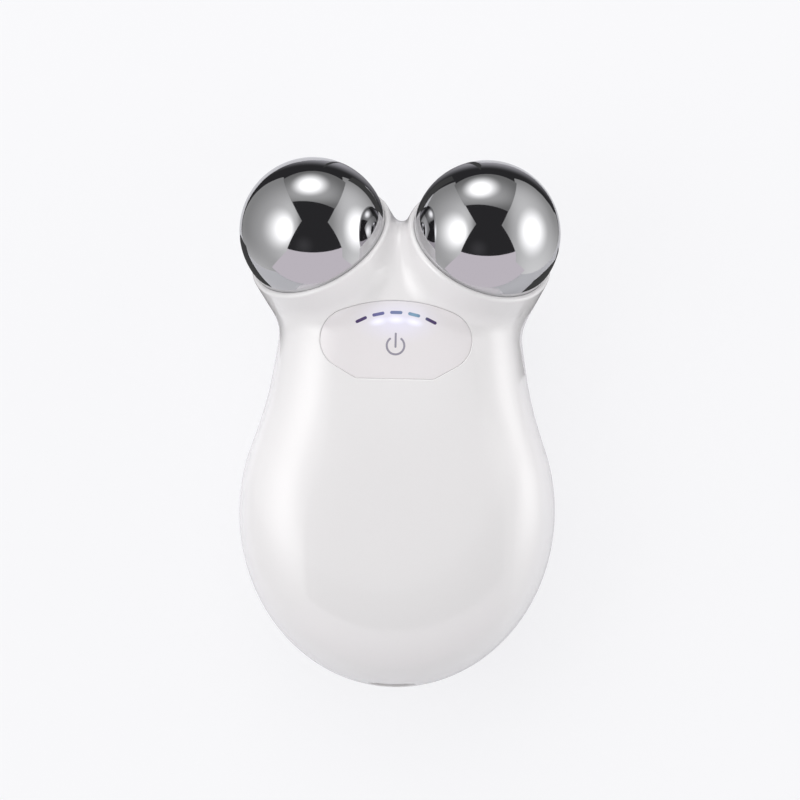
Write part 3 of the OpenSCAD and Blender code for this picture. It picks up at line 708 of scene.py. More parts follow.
def turned(profile, centre, axis, columns):
    """Solid of revolution: the rows (radius, height along the axis) of a profile that starts and
    ends on the axis, turned about it."""
    askew = [0.3, 1, 0.2]  # any direction that no axis here runs along
    axis = unit(np.asarray(axis, float))
    first = unit(np.cross(askew, axis))
    second = np.cross(axis, first)
    u = np.linspace(0, 2 * math.pi, columns, endpoint=False)[None, :, None]
    r, h = np.asarray(profile, float).T[:, :, None, None]
    return closed_rings(centre + r * (np.cos(u) * first + np.sin(u) * second) + h * axis)


def prism(line, low, high):
    """Upright solid between two heights over an anticlockwise outline, closed at its middle."""
    middle = np.tile(line.mean(0), (len(line), 1))
    rows = [(middle, high), (line, high), (line, low), (middle, low)]
    return closed_rings(np.stack([np.c_[xy, np.full(len(xy), z)] for xy, z in rows]))


def housing_solid(form, sizes, key):
    """The two shells as one solid: skin, cup rims, key opening, inlet mouth and screw wells."""
    settle = settler(form)
    points, faces = closed_rings(form.grid(COLUMNS, ROWS))
    wall = sizes.wall / MM
    rim_round = sizes.rim_round / MM
    seam_round = sizes.seam_round / MM
    line = key_outline(key)
    well_round, boss_step = 0.2, 0.2
    mouth_round, mouth_gap, mouth_depth, tail = 0.25, 0.25, 3.2, 6

    def mirrored(p):
        """Factors that bring points of the left half to the right half."""
        return np.where(p[..., :1] < 0, [-1, 1, 1], 1)

    # Distances to the edges of the openings: the skin is kept where all are positive
    def rim(p):
        over = dot(p * mirrored(p) - SPHERE_C, form.axis)
        return -(over + form.rim_back + rim_round)

    def seam(p):
        away = outline_distance(p, line) - key.gap / MM - seam_round
        return np.where(p[..., 2] > SPLIT_Z, away, FAR)

    def wells(p):
        away = np.linalg.norm(p[..., None, :2] - HOUSING_POSTS, axis=-1).min(-1)
        return np.where(p[..., 2] < SPLIT_Z / 2, away - COUNTER_R - well_round, FAR)

    def mouth(p):
        half = (INLET_W - INLET_T) / 2
        away = np.hypot(np.maximum(np.abs(p[..., 0]) - half, 0), p[..., 2] - INLET_Z)
        edge = INLET_T / 2 + mouth_gap + mouth_round
        return np.where(p[..., 1] < TAIL_Y + tail, away - edge, FAR)

    for side in (rim, seam, wells, mouth):
        points, faces = trim(points, faces, side, settle)

    lining = points - wall * form.normal(points)
    for flip in (1, -1):
        centre = SPHERE_C * [flip, 1, 1]
        q = lining - centre
        r = np.linalg.norm(q, axis=1)[:, None]
        pushed = centre + q * form.pocket_r / np.maximum(r, 1e-6)
        lining = np.where(r < form.pocket_r, pushed, lining)

    def rim_rows(p):
        """Rounded outer edge, flat rim and rounded inner edge of a cup, down into its pocket."""
        axis, back, inner_round = form.axis, form.rim_back, 0.04
        flip = mirrored(p)
        q = p * flip - SPHERE_C
        n = form.normal(p) * flip
        h = dot(q, axis)[:, None]
        e = unit(q - h * axis)
        slide = unit(axis - dot(n, axis[None])[:, None] * n)
        facing = np.maximum(dot(slide, axis[None]), LEAST_COSINE)[:, None]
        corner = q + slide * (-back - h) / facing
        pocket_edge = math.sqrt(form.pocket_r**2 - back**2)
        low = back + inner_round
        rows = bend(q, corner, corner - rim_round * e, 7)
        start = -back * axis + (pocket_edge + inner_round) * e
        rows += [rows[-1] + t * (start - rows[-1]) for t in (0.04, 0.96)] + [start]
        end = -low * axis + math.sqrt(form.pocket_r**2 - low**2) * e
        rows += bend(start, -back * axis + pocket_edge * e, end, 4)
        return [(row + SPHERE_C) * flip for row in rows]

    def seam_rows(p):
        into = unit(gradient(seam, p))
        play, shelf = 0.12, 1.2
        seat = KEY_BOX[0][2] + FLANGE_T + play
        stops = [(0, seat), (shelf, seat)]
        return hole_rows(p, form.normal(p), into, 2, -1, seam_round, stops)

    def well_rows(p):
        into = unit(gradient(wells, p) * [1, 1, 0])
        boss = BOSS_R - COUNTER_R
        stops = [(0, SEAT_Z), (boss, SEAT_Z), (boss, wall + boss_step)]
        return hole_rows(p, form.normal(p), into, 2, 1, well_round, stops)

    def mouth_rows(p):
        into = unit(gradient(mouth, p) * [1, 0, 1])
        stops = [(0, TAIL_Y + mouth_depth)]
        return hole_rows(p, form.normal(p), into, 1, 1, mouth_round, stops)

    borders = [(rim, rim_rows), (seam, seam_rows), (wells, well_rows), (mouth, mouth_rows)]
    return lined(points, faces, lining, borders)


def parting_cutter(form, sizes, up):
    """Solid on one side of the parting plane, with a bevelled brim that cuts half of the groove."""
    edge = form.edge(COLUMNS)
    depth, brim, beyond, far = sizes.groove_depth / MM, 0.4, 1.6, 60
    rise = sizes.groove_width / MM / 2 * (1 + brim / depth)
    out = np.c_[outline_normals(edge[:, :2]), np.zeros(len(edge))]
    centre = np.array([0, CORE_Y, 0])
    flat = edge * [1, 1, 0]
    rings = np.stack([
        centre + share * flat + reach * out + (SPLIT_Z + z) * np.array([0, 0, 1.0])
        for share, reach, z in (
            (0, 0, 0), (1, -depth, 0), (1, brim, -up * rise), (beyond, 0, -up * rise),
            (beyond, 0, up * far), (0, 0, up * far),
        )
    ])
    points, faces = closed_rings(rings)
    return points, faces if up < 0 else faces[:, ::-1]


def sphere_solid(form):
    """Hollow ball, turned about the cup's axis, with a hole at its back for the stud."""
    hole, wall, edge = 4.0, 1.3, 0.2
    inner = SPHERE_R - wall
    ends = [math.pi - math.asin((hole + edge) / r) for r in (SPHERE_R, inner)]
    a, b = np.linspace(0, ends[0], 150), np.linspace(ends[1], 0, 80)
    low, high = (-math.sqrt(r**2 - hole**2) for r in (SPHERE_R, inner))
    profile = np.concatenate([
        SPHERE_R * np.stack([np.sin(a), np.cos(a)], -1),
        [[hole, low + edge], [hole, high - edge]],
        inner * np.stack([np.sin(b), np.cos(b)], -1),
    ])
    return turned(profile, SPHERE_C, form.axis, 256)


def key_solid(form, key):
    """The key: its top follows the skin inside the outline, a rounded edge leads to the wall, and
    a flange below holds it under the shell. It is whole: the operator cuts the windows."""
    line = key_outline(key)
    out = outline_normals(line)
    edge_round, bevel = 0.08, 0.15
    sunk = key.sunk / MM
    middle = np.array([0, KEY_TOP_Y - key.height / MM / 2])
    low = KEY_BOX[0][2]
    shelf = low + FLANGE_T
    rows = []
    for share in np.linspace(0, 1, 56):
        xy = middle + share * (line - edge_round * out - middle)
        rows.append(np.c_[xy, form.height(xy) - sunk])
    shoulder = rows[-1]
    for a in np.radians([22, 45, 68, 90]):
        xy = shoulder[:, :2] + edge_round * math.sin(a) * out
        rows.append(np.c_[xy, shoulder[:, 2] - edge_round * (1 - math.cos(a))])
    for offset, z in (
        (0, shelf + bevel), (bevel, shelf), (FLANGE_W - bevel, shelf),
        (FLANGE_W, shelf - bevel), (FLANGE_W, low + bevel), (FLANGE_W - bevel, low),
    ):
        rows.append(np.c_[line + offset * out, np.full(len(line), z)])
    rows.append(np.c_[np.tile(middle, (len(line), 1)), np.full(len(line), low)])
    return closed_rings(np.stack(rows))


def window_prisms(key, shrink, low, top):
    """The light windows as slots: outlines turned and moved to their places. top is a height or
    a function of a point and its share of the way to the edge."""
    centres, lean = windows(key)
    size, thick = (s / MM - 2 * shrink for s in (key.window_length, key.window_width))
    parts = []
    for centre, a in zip(centres, lean):
        turn = np.array([[math.cos(a), math.sin(a)], [-math.sin(a), math.cos(a)]])
        line = stadium(size, thick) @ turn
        rings = []
        for share in (0.0, 0.35, 0.7, 0.9, 1.0):
            xy = centre + share * line
            rings.append(np.c_[xy, top(xy, share) if callable(top) else np.full(len(xy), top)])
        for share in (1.0, 0.0):
            rings.append(np.c_[centre + share * line, np.full(len(line), low)])
        parts.append(closed_rings(np.stack(rings)))
    return parts


def sign_strokes(form, key):
    """Power sign: an open ring and an upright bar, each a thin printed stroke on the skin.

    A stroke's half width grows from its ends as on a circle, its top stands a hair over the skin
    and its underside lies a hair inside."""
    radius, width = key.sign_radius / MM, key.sign_stroke / MM
    centre = np.array([0, key.sign_y / MM])
    opening, bar_low, bar_high = 33, -0.45, 2.62
    ring = arc(centre, radius, 90 + opening, 450 - opening, 240)
    bar = centre + np.linspace([0, bar_low], [0, bar_high], 60)
    across = np.array([1, 0.8, 0, -0.8, -1, -1, 0, 1])
    height = np.array([0.006, 0.014, 0.016, 0.014, 0.006, -0.02, -0.02, -0.02])
    parts = []
    for path in (ring, bar):
        along = unit(np.gradient(path, axis=0))
        right = np.stack([along[:, 1], -along[:, 0]], -1)
        run = np.concatenate([[0], np.cumsum(np.linalg.norm(np.diff(path, axis=0), axis=1))])
        left_over = np.clip(1 - np.minimum(run, run[-1] - run) / (width / 2), 0, 1)
        half = width / 2 * np.sqrt(1 - left_over**2)
        xy = path[:, None] + (half[:, None] * across)[..., None] * right[:, None]
        level = form.height(xy) - key.sunk / MM + height
        parts.append(closed_rings(np.concatenate([xy, level[..., None]], -1)))
    return parts


def along_slot(rows, width, thick):
    """Rings of the inlet: slot outlines (share, inset) at places y, carried along the body."""
    rings = []
    for y, inset, share in rows:
        line = share * stadium(width - 2 * inset * share, thick - 2 * inset * share)
        rings.append(np.stack([-line[:, 0], np.full(len(line), y), line[:, 1] + INLET_Z], -1))
    return closed_rings(np.stack(rings))


def inlet_sleeve():
    """Stamped steel sleeve of the charging inlet: a slot outline carried along a cup's profile."""
    low, high = INLET_BOX
    wall, lip, chamfer, floor = 0.3, 0.12, 0.25, 0.5
    rows = [
        (high[1], INLET_T / 2, 0.0), (high[1], chamfer, 1.0), (high[1] - chamfer, 0.0, 1.0),
        (low[1] + lip, 0.0, 1.0),
    ]
    for a in np.radians([30, 60, 90, 120, 150, 180]):
        rows.append((low[1] + lip - lip * math.sin(a), wall / 2 - wall / 2 * math.cos(a), 1.0))
    rows += [(high[1] - floor, wall, 1.0), (high[1] - floor, INLET_T / 2, 0.0)]
    leg_w, leg_t, leg_y = 1.4, 0.5, high[1] - 1.6
    leg = stadium(leg_w, leg_t, 16)[:, ::-1] * [1, -1]
    legs = [
        prism(leg + [x, leg_y], INLET_Z, high[2])
        for x in (low[0] + leg_t / 2, high[0] - leg_t / 2)
    ]
    return joined([along_slot(rows, INLET_W, INLET_T)] + legs)


def inlet_tongue():
    """Tongue with rounded edges and a tapered tip, as a slot outline carried along the inlet."""
    low, high = TONGUE_BOX[0][1], TONGUE_BOX[1][1]
    rows = [
        (high, 0, 0.0), (high, 0, 1.0), (low + 0.5, 0, 1.0), (low + 0.2, 0.03, 1.0),
        (low + 0.05, 0.09, 1.0), (low, 0.2, 1.0), (low, 0.2, 0.0),
    ]
    return along_slot(rows, TONGUE_W, TONGUE_T)


def plug_solids():
    """Soft plugs with a slight dome and a rounded rim, one over each housing screw."""
    low, high = PLUG_BOX
    radius, edge, dome, step, thick = COUNTER_R - 0.02, 0.25, 0.12, 0.1, high[2] - low[2]
    a = np.radians(np.linspace(0, 90, 8))
    r = np.linspace(0, radius - edge, 8)
    profile = np.concatenate([
        np.stack([r, dome * (1 - (r / radius) ** 2) - dome], -1),
        np.stack([radius - edge + edge * np.sin(a[1:]), edge * np.cos(a[1:]) - edge - step], -1),
        [[radius, step - thick], [radius - step, -thick], [0, -thick]],
    ])
    return joined([turned(profile, [*post, low[2]], [0, 0, -1], 64) for post in HOUSING_POSTS])


# ---- Finishes --------------------------------------------------------------------------------


def set_inputs(node, inputs):
    """Sets sockets of a node: an output socket is linked, any other value is set."""
    for socket, value in dict(inputs).items():
        if isinstance(value, bpy.types.NodeSocket):
            node.id_data.links.new(value, node.inputs[socket])
        else:
            node.inputs[socket].default_value = value


def add_node(tree, kind, inputs=(), out=0, **settings):
    """Adds a shader node with its properties and inputs, and returns its output named out."""
    node = tree.nodes.new("ShaderNode" + kind)
    for name, value in settings.items():
        setattr(node, name, value)
    set_inputs(node, inputs)
    return node.outputs[out] if node.outputs else None


def new_material(name, **sockets):
    """Material with a Principled shader whose constant sockets are given by name."""
    material = bpy.data.materials.new(name)
    material.use_nodes = True
    tree = material.node_tree
    shader = tree.nodes["Principled BSDF"]
    set_inputs(shader, {socket.replace("_", " "): value for socket, value in sockets.items()})
    return material, tree, shader


# Node, inputs, output and properties of each kind of grain
GRAINS = {
    "noise": ("TexNoise", {"Scale": 1.0, "Detail": 3.0}, "Fac", {}),
    "cells": ("TexVoronoi", {"Scale": 1.0}, "Distance", {}),
    "bands": (
        "TexWave", {"Scale": 0.3, "Distortion": 0.6, "Detail": 1.0}, "Fac",
        {"bands_direction": "Z"},
    ),
}


def grained(name, base, grain, depth, rough, vary=0.06, kind="noise", **sockets):
    """Material whose grain of a real size in millimetres drives its tone, its gloss and a bump.

    kind is the grain: noise for moulded and cast skins, cells for sintered and foamed ones, and
    bands for turned, wound or drawn ones. depth is the grain's depth in millimetres."""
    material, tree, shader = new_material(name, **sockets)
    place = add_node(tree, "TexCoord", out="Object")
    scaled = add_node(tree, "Mapping", {"Vector": place, "Scale": [1 / (grain * MM)] * 3})
    node, inputs, out, settings = GRAINS[kind]
    texture = add_node(tree, node, {"Vector": scaled, **inputs}, out, **settings)
    level, gloss = (
        add_node(tree, "MapRange", {"Value": texture, "To Min": mid - half, "To Max": mid + half})
        for mid, half in ((1, vary), (rough, 0.04))
    )
    tone = add_node(tree, "VectorMath", {0: list(base)[:3], "Scale": level}, operation="SCALE")
    bump = add_node(tree, "Bump", {"Height": texture, "Strength": 1.0, "Distance": depth * MM})
    set_inputs(shader, {"Base Color": tone, "Roughness": gloss, "Normal": bump})
    return material


def pearl(name, base):
    """Pearl-white ABS, injection-moulded in a polished tool under a clear coat.

    Mica flakes of about 0.2 mm give a faint sparkle in tone, the tool's polish a faint waviness
    of the gloss about 6 mm long, and the coat a sharp highlight over a softer one."""
    material, tree, shader = new_material(
        name, IOR=1.53, Coat_Weight=1.0, Coat_Roughness=0.035, Coat_IOR=1.5, Sheen_Weight=0.08,
        Sheen_Roughness=0.4, Sheen_Tint=linear("#F4EEF2"),
    )
    place = add_node(tree, "TexCoord", out="Object")
    flakes = add_node(tree, "TexVoronoi", {"Vector": place, "Scale": 1 / (0.2 * MM)}, "Color")
    sparkle = add_node(tree, "SeparateColor", {"Color": flakes})
    tone = add_node(tree, "MapRange", {"Value": sparkle, "To Min": 0.99, "To Max": 1.0})
    tinted = add_node(tree, "VectorMath", {0: list(base)[:3], "Scale": tone}, operation="SCALE")
    gloss = add_node(tree, "MapRange", {"Value": sparkle, "To Min": 0.30, "To Max": 0.34})
    wave = add_node(tree, "TexNoise", {"Vector": place, "Scale": 1 / (6 * MM), "Detail": 1.0})
    bump = add_node(tree, "Bump", {"Height": wave, "Strength": 1.0, "Distance": 0.004 * MM})
    set_inputs(shader, {"Base Color": tinted, "Roughness": gloss, "Coat Normal": bump})
    return material


def lit_pearl(finishes, key):
    """The same pearl ABS, thin enough over the diodes for their light to show.

    Three soft streaks lie under the middle windows, in a wide cool halo that fades downwards."""
    material = pearl("pearl_key", finishes.key)
    tree = material.node_tree
    place = add_node(tree, "TexCoord", out="Object")
    centres, lean = windows(key)
    glow = list(finishes.glow)[:3]
    # Centre and turn, reach across and along in millimetres, power and tint
    spots = [(centres[i] - [0, 1.5], lean[i], (2.5, 1.1), 0.27, glow) for i in (1, 2, 3)]
    spots.append((centres[2] - [-0.2, 1.6], 0.0, (10.5, 5.5), 0.15, linear("#7C88FF")[:3]))
    key_z, tall = 31.5, 40
    total = (0, 0, 0)
    for (x, y), turn, (wide, high), power, tint in spots:
        local = add_node(
            tree, "Mapping",
            {"Vector": place, "Location": (x * MM, y * MM, key_z * MM), "Rotation": (0, 0, turn),
             "Scale": (wide * MM, high * MM, tall * MM)},
            vector_type="TEXTURE",
        )
        ball = add_node(tree, "TexGradient", {"Vector": local}, "Fac", gradient_type="SPHERICAL")
        soft = add_node(
            tree, "MapRange", {"Value": ball, "To Max": power}, interpolation_type="SMOOTHSTEP"
        )
        part = add_node(tree, "VectorMath", {0: tint, "Scale": soft}, operation="SCALE")
        total = add_node(tree, "VectorMath", {0: total, 1: part})
    shader = tree.nodes["Principled BSDF"]
    set_inputs(shader, {"Emission Color": total, "Emission Strength": 1.0})
    return material


def mirror_chrome(finishes):
    """Chrome plate on a polished ball: a mirror with faint polishing haze.

    The haze is broken into patches of about 3 mm, and a bump 0.02 mm deep and 8 mm long bends
    the reflections a little, as on a buffed surface."""
    material, tree, shader = new_material(
        "contact_chrome", Base_Color=finishes.chrome, Metallic=1.0
    )
    place = add_node(tree, "TexCoord", out="Object")
    haze, sway = (
        add_node(tree, "TexNoise", {"Vector": place, "Scale": 1 / (size * MM), "Detail": detail})
        for size, detail in ((3, 4.0), (8, 0.0))
    )
    rough = add_node(tree, "MapRange", {"Value": haze, "To Min": 0.025, "To Max": 0.06})
    bump = add_node(tree, "Bump", {"Height": sway, "Strength": 1.0, "Distance": 0.02 * MM})
    set_inputs(shader, {"Roughness": rough, "Normal": bump})
    return material


# Colours of the windows from left to right, and the level at which they shine; the two outer
# windows, whose diodes are off, shine too, a painted glow of their dark tint
WINDOW_CODES = ("#57496F", "#7474A4", "#7F8AB0", "#88AAC4", "#57496F")
WINDOW_LEVEL = 0.62


def window_glow(key):
    """Clear polycarbonate light guide over five diodes: the middle three are lit.

    Each window glows in the colour of the diode below it, and the plastic stays glossy; the two
    outer windows, whose diodes are off, are given a dim painted glow of their dark tint."""
    material, tree, shader = new_material(
        "guide_clear", IOR=1.58, Roughness=0.08, Coat_Weight=0.5, Coat_Roughness=0.03,
        Emission_Strength=1.0,
    )
    place = add_node(tree, "TexCoord", out="Object")
    across = add_node(tree, "SeparateXYZ", {"Vector": place})
    # The ramp of colours runs half as far again as the middles of the outer windows
    half = 1.5 * key.window_arc * math.sin(math.radians(2 * WINDOW_STEP))
    share = add_node(tree, "MapRange", {"Value": across, "From Min": -half, "From Max": half})
    colours = add_node(tree, "ValToRGB", {"Fac": share})
    ramp = colours.node.color_ramp
    ramp.interpolation = "EASE"
    while len(ramp.elements) < len(WINDOW_CODES):
        ramp.elements.new(0.5)
    for element, x in zip(ramp.elements, windows(key)[0][:, 0]):
        element.position = 0.5 + x * MM / (2 * half)
    for element, code in zip(ramp.elements, WINDOW_CODES):
        element.color = [WINDOW_LEVEL * c for c in linear(code)[:3]] + [1.0]
    deep = add_node(tree, "VectorMath", {0: colours, "Scale": 0.5}, operation="SCALE")
    set_inputs(shader, {"Emission Color": colours, "Base Color": deep})
    return material


def tongue_gold():
    """Black glass-filled nylon with gold-plated contact strips, 0.5 mm apart and 0.3 mm wide."""
    material, tree, shader = new_material("tongue_nylon", Roughness=0.35)
    place = add_node(tree, "TexCoord", out="Object")
    across = add_node(tree, "SeparateXYZ", {"Vector": place})
    saw = add_node(tree, "Math", {0: across, 1: 0.5 * MM}, operation="PINGPONG")
    strip = add_node(tree, "Math", {0: saw, 1: 0.2 * MM}, operation="GREATER_THAN")
    colours = add_node(tree, "ValToRGB", {"Fac": strip})
    for element, code in zip(colours.node.color_ramp.elements, ("#17171A", "#D9B36A")):
        element.color = linear(code)
    set_inputs(shader, {"Metallic": strip, "Base Color": colours})
    return material


# Finishes of the parts inside the housing, by record slot: colour, size of the grain and its
# depth in millimetres, roughness, and what differs from a plain moulded grain
BANDS, CELLS, METAL = {"kind": "bands"}, {"kind": "cells"}, {"Metallic": 1.0}
INNER_FINISHES = {
    # Turned brass: fine rings from the tool, warm and half bright
    "stud_brass": ("#D8B878", 0.25, 0.004, 0.24, BANDS | METAL),
    # Moulded silicone: soft sheen, dusty bloom
    "seal_rubber": ("#434346", 0.6, 0.01, 0.6, {"IOR": 1.41}),
    # Natural ABS from a spark-eroded tool: an even matt grain
    "carrier_plastic": ("#D9D8D3", 0.25, 0.012, 0.5, {"IOR": 1.53}),
    # Zinc-plated cold-headed steel: bright grey, mottled by the plating bath
    "screw_steel": ("#B9BBBF", 0.5, 0.003, 0.28, METAL),
    # Extruded PVC insulation: smooth, faintly mottled
    "lead_white": ("#DEDDD8", 0.8, 0.004, 0.38, {"IOR": 1.54}),
    "lead_red": ("#B92B22", 0.8, 0.004, 0.38, {"IOR": 1.54}),
    # Moulded nylon plunger, slightly worn at its top
    "plunger_black": ("#202023", 0.3, 0.006, 0.42, {"vary": 0.2, "IOR": 1.53}),
    # Cast epoxy over phosphor: yellowish, cloudy
    "led_lens": ("#F1EBBE", 0.4, 0.002, 0.15, {"IOR": 1.5}),
    # Glass-epoxy laminate: the cloth's 0.5 mm weave shows through the solder mask
    "board_laminate": ("#1D5A36", 0.5, 0.006, 0.3, BANDS | {"vary": 0.15, "IOR": 1.55}),
    # Transfer-moulded epoxy with a laser-matted top
    "chip_epoxy": ("#1C1C1F", 0.12, 0.008, 0.55, {"vary": 0.25, "IOR": 1.55}),
    # Sintered ferrite: grey, with fine pores
    "coil_ferrite": ("#38383B", 0.2, 0.01, 0.62, CELLS | {"vary": 0.2}),
    # Polyester tape wound over the core, its edges stepping every turn
    "transformer_tape": ("#D8BA3C", 0.5, 0.01, 0.3, BANDS | {"IOR": 1.6}),
    # Fired ceramic body with a slightly sugary break
    "capacitor_ceramic": ("#A5875C", 0.15, 0.006, 0.48, {"vary": 0.1}),
    # Aluminium laminate pouch: soft creases over the cell's edges
    "battery_pouch": ("#A9ADB3", 4.0, 0.05, 0.33, {"Metallic": 0.8}),
    # Closed-cell foam: 0.3 mm cells cut open
    "pad_foam": ("#38383A", 0.3, 0.06, 0.85, CELLS | {"vary": 0.3}),
    # Moulded nylon plug: milky, glossy
    "plug_nylon": ("#EFECDD", 0.5, 0.004, 0.32, {"IOR": 1.53}),
}


# ---- Studio ----------------------------------------------------------------------------------


# Outlines of the cards, in millimetres
FLOOR = [(-4000, -4000), (4000, -4000), (4000, 4000), (-4000, 4000)]
# The paper is notched between the spheres, so that there they mirror the dark room: painted shade
# between the spheres
PAPER = [
    (-400, -400), (400, -400), (46, 38), (43, 47), (38, 56), (31, 65), (23, 71), (14, 73),
    (11, 66), (13, 42), (-13, 42), (-13, 70), (-18, 76), (-28, 77), (-40, 71), (-48, 62),
    (-52, 50), (-53, 38),
]
# Dark sheets beside the neck, seen only by gloss: a painted shadow of the object on the table, as
# the spheres mirror it
LEFT_SHADOW_SHEET = [
    (-28, 36), (-40, 38), (-43, 37), (-53, 31), (-50, 25), (-48, 20), (-43, 17), (-38, 15),
    (-28, 18),
]
RIGHT_SHADOW_SHEET = [(28, 36), (38, 36), (36, 33), (40, 29), (44, 22), (45, 13), (39, 11), (28, 11)]
# Upright dark sheets on either side of the gap between the spheres, seen only by gloss: painted
# shade between the spheres
SHADE_FENCE = [(42, 0), (85, 0), (85, 17), (42, 17)]
BOUNCE = [(-12, 30), (12, 30), (12, 52), (-12, 52)]
# Outlines of the light panels, in half metres, and of the side fills, in metres
LEFT_PANEL = [
    (1.68, -0.5), (1.05, 4.2), (-0.71, 1.26), (-1.0, 0.9), (-1.0, -1.3), (0.3, -1.2), (0.5, -1.0),
    (0.8, -0.78), (1.2, -0.6),
]
RIGHT_PANEL = [
    (2.26, -0.9), (0.54, 2.05), (-0.52, 0.757), (-1.0, 0.45), (-1.0, -2.0), (0.46, -1.97),
    (0.5, -1.4), (0.7, -1.1), (1.0, -0.98),
]
TOP_PANEL = [
    (-0.61, -0.16), (0.535, -0.2), (0.6, 0.0), (0.72, 0.36), (0.9, 0.89), (0.98, 1.17),
    (-0.7, 0.92),
]
TABLE_CARD = [(-1.5, 0), (1.5, 0), (1.5, 0.56), (-1.5, 0.7)]
FILL = [(-0.6, 0), (0.7, 0), (0.7, 0.4), (-0.6, 0.4)]
# Soft spots: centre, reach per axis, level
LEFT_SPOTS = [
    ((-1, 0.0, 1.6), (1, 3.2, 2.3), 0.65),
    ((-1, 0.1, 1.25), (1, 0.84, 1.15), 1.65),
    ((-1, -0.8, -1.0), (1, 1.0, 1.4), 0.62),
]
RIGHT_SPOTS = [
    ((1, 0.3, 0.35), (1, 3.0, 1.4), 0.5),
    ((1, 0.14, 0.28), (1, 0.66, 0.68), 1.5),
    ((1, -0.8, -0.9), (1, 1.3, 1.6), 0.6),
]
TOP_SPOTS = [
    ((-0.1, 1, 0.55), (1.3, 1, 0.75), 0.42),
    ((-0.1, 1, 0.33), (0.47, 1, 0.47), 2.1),
]
DOME_SPOTS = [
    ((0.0, 1.2, -2.1), (1.3, 1.5, 1.2), 0.5),
    ((-0.4, -1.0, 2.2), (0.8, 0.8, 0.8), 0.035),
]
DOME_R = 2500  # mm
WHITE, DARK, HALF_METRE = "#FFFFFF", 0.07, 0.5
MIRRORED, UNMIRRORED = {"diffuse": False}, {"glossy": False}
# Name, axis across the card and place on it, outline, unit in metres, colour, base level, soft
# spots, and the rays that it is hidden from
LIGHT_CARDS = [
    ("left_panel", 0, -1, LEFT_PANEL, HALF_METRE, WHITE, 0.35, LEFT_SPOTS, {}),
    ("right_panel", 0, 1, RIGHT_PANEL, HALF_METRE, WHITE, 0.38, RIGHT_SPOTS, {}),
    ("top_panel", 1, 1, TOP_PANEL, HALF_METRE, WHITE, 0.22, TOP_SPOTS, {}),
    ("table_card", 1, -0.4, TABLE_CARD, 1.0, "#F6EEF6", 0.9, [], MIRRORED),
    # The two shadow sheets: painted shadow on the table, seen only in the spheres' reflections
    ("left_shadow_sheet", 2, 12, LEFT_SHADOW_SHEET, MM, WHITE, DARK, [], MIRRORED),
    ("right_shadow_sheet", 2, 12, RIGHT_SHADOW_SHEET, MM, WHITE, DARK, [], MIRRORED),
    # The two shade fences: painted shade between the spheres, seen only in their reflections
    ("left_shade_fence", 0, -12, SHADE_FENCE, MM, WHITE, DARK, [], MIRRORED),
    ("right_shade_fence", 0, 12, SHADE_FENCE, MM, WHITE, DARK, [], MIRRORED),
    ("left_fill", 0, -0.7, FILL, 1.0, WHITE, 1.25, [], UNMIRRORED),
    ("right_fill", 0, 0.7, FILL, 1.0, WHITE, 0.75, [], UNMIRRORED),
    ("saddle_bounce", 2, 58, BOUNCE, MM, WHITE, 1.5, [], UNMIRRORED),
]


def bare_tree(owner):
    """Emptied node tree of a new material or world."""
    owner.use_nodes = True
    owner.node_tree.nodes.clear()
    return owner.node_tree


def seen_by(tree, *rays):
    """1 where a ray of one of two kinds looks at the surface, else 0."""
    kinds = {i: add_node(tree, "LightPath", out=f"Is {ray} Ray") for i, ray in enumerate(rays)}
    return add_node(tree, "Math", kinds, operation="MAXIMUM")


def glowing(name, code, base, spots=(), scale=MM):
    """Card material of plain light with soft spots added: each has a centre and a reach per
    axis, in the card's own unit, and the level that it adds."""
    material = bpy.data.materials.new(name)
    tree = bare_tree(material)
    place = add_node(tree, "TexCoord", out="Object")
    level = base
    for centre, reach, gain in spots:
        local = add_node(
            tree, "Mapping",
            {"Vector": place, "Location": [scale * c for c in centre],
             "Scale": [scale * r for r in reach]},
            vector_type="TEXTURE",
        )
        away = add_node(tree, "VectorMath", {0: local}, "Value", operation="LENGTH")
        fade = add_node(
            tree, "MapRange", {"Value": away, "To Min": gain, "To Max": 0.0},
            interpolation_type="SMOOTHSTEP",
        )
        level = add_node(tree, "Math", {0: fade, 1: level})
    light = add_node(tree, "Emission", {"Color": linear(code), "Strength": level})
    add_node(tree, "OutputMaterial", {"Surface": light})
    return material


def card(name, axis, place, outline, material, scale=MM, camera=False, diffuse=True, glossy=True):
    """Flat studio card across an axis at a place, with its outline in the other two axes, seen
    only by the rays that it is meant for."""
    corners = np.insert(np.asarray(outline, float), axis, place, axis=1) * scale
    mesh = bpy.data.meshes.new(name)
    mesh.from_pydata(corners.tolist(), [], [list(range(len(corners)))])
    mesh.materials.append(material)
    thing = bpy.data.objects.new(name, mesh)
    bpy.context.scene.collection.objects.link(thing)
    thing.visible_camera = thing.visible_shadow = camera
    thing.visible_diffuse = diffuse
    thing.visible_glossy = thing.visible_transmission = glossy


def floor_material(studio):
    """Pale matt floor: mostly its own colour, with enough plain diffuse to keep the shadow."""
    material = bpy.data.materials.new("floor_paper")
    tree = bare_tree(material)
    seen = seen_by(tree, "Camera", "Glossy")
    share = add_node(tree, "Math", {0: seen, 1: 0.8}, operation="MULTIPLY")
    plain = add_node(tree, "BsdfDiffuse", {"Color": studio.floor})
    lit = add_node(tree, "Emission", {"Color": studio.floor, "Strength": 1.0})
    mixed = add_node(tree, "MixShader", {0: share, 1: plain, 2: lit})
    add_node(tree, "OutputMaterial", {"Surface": mixed})
    return material


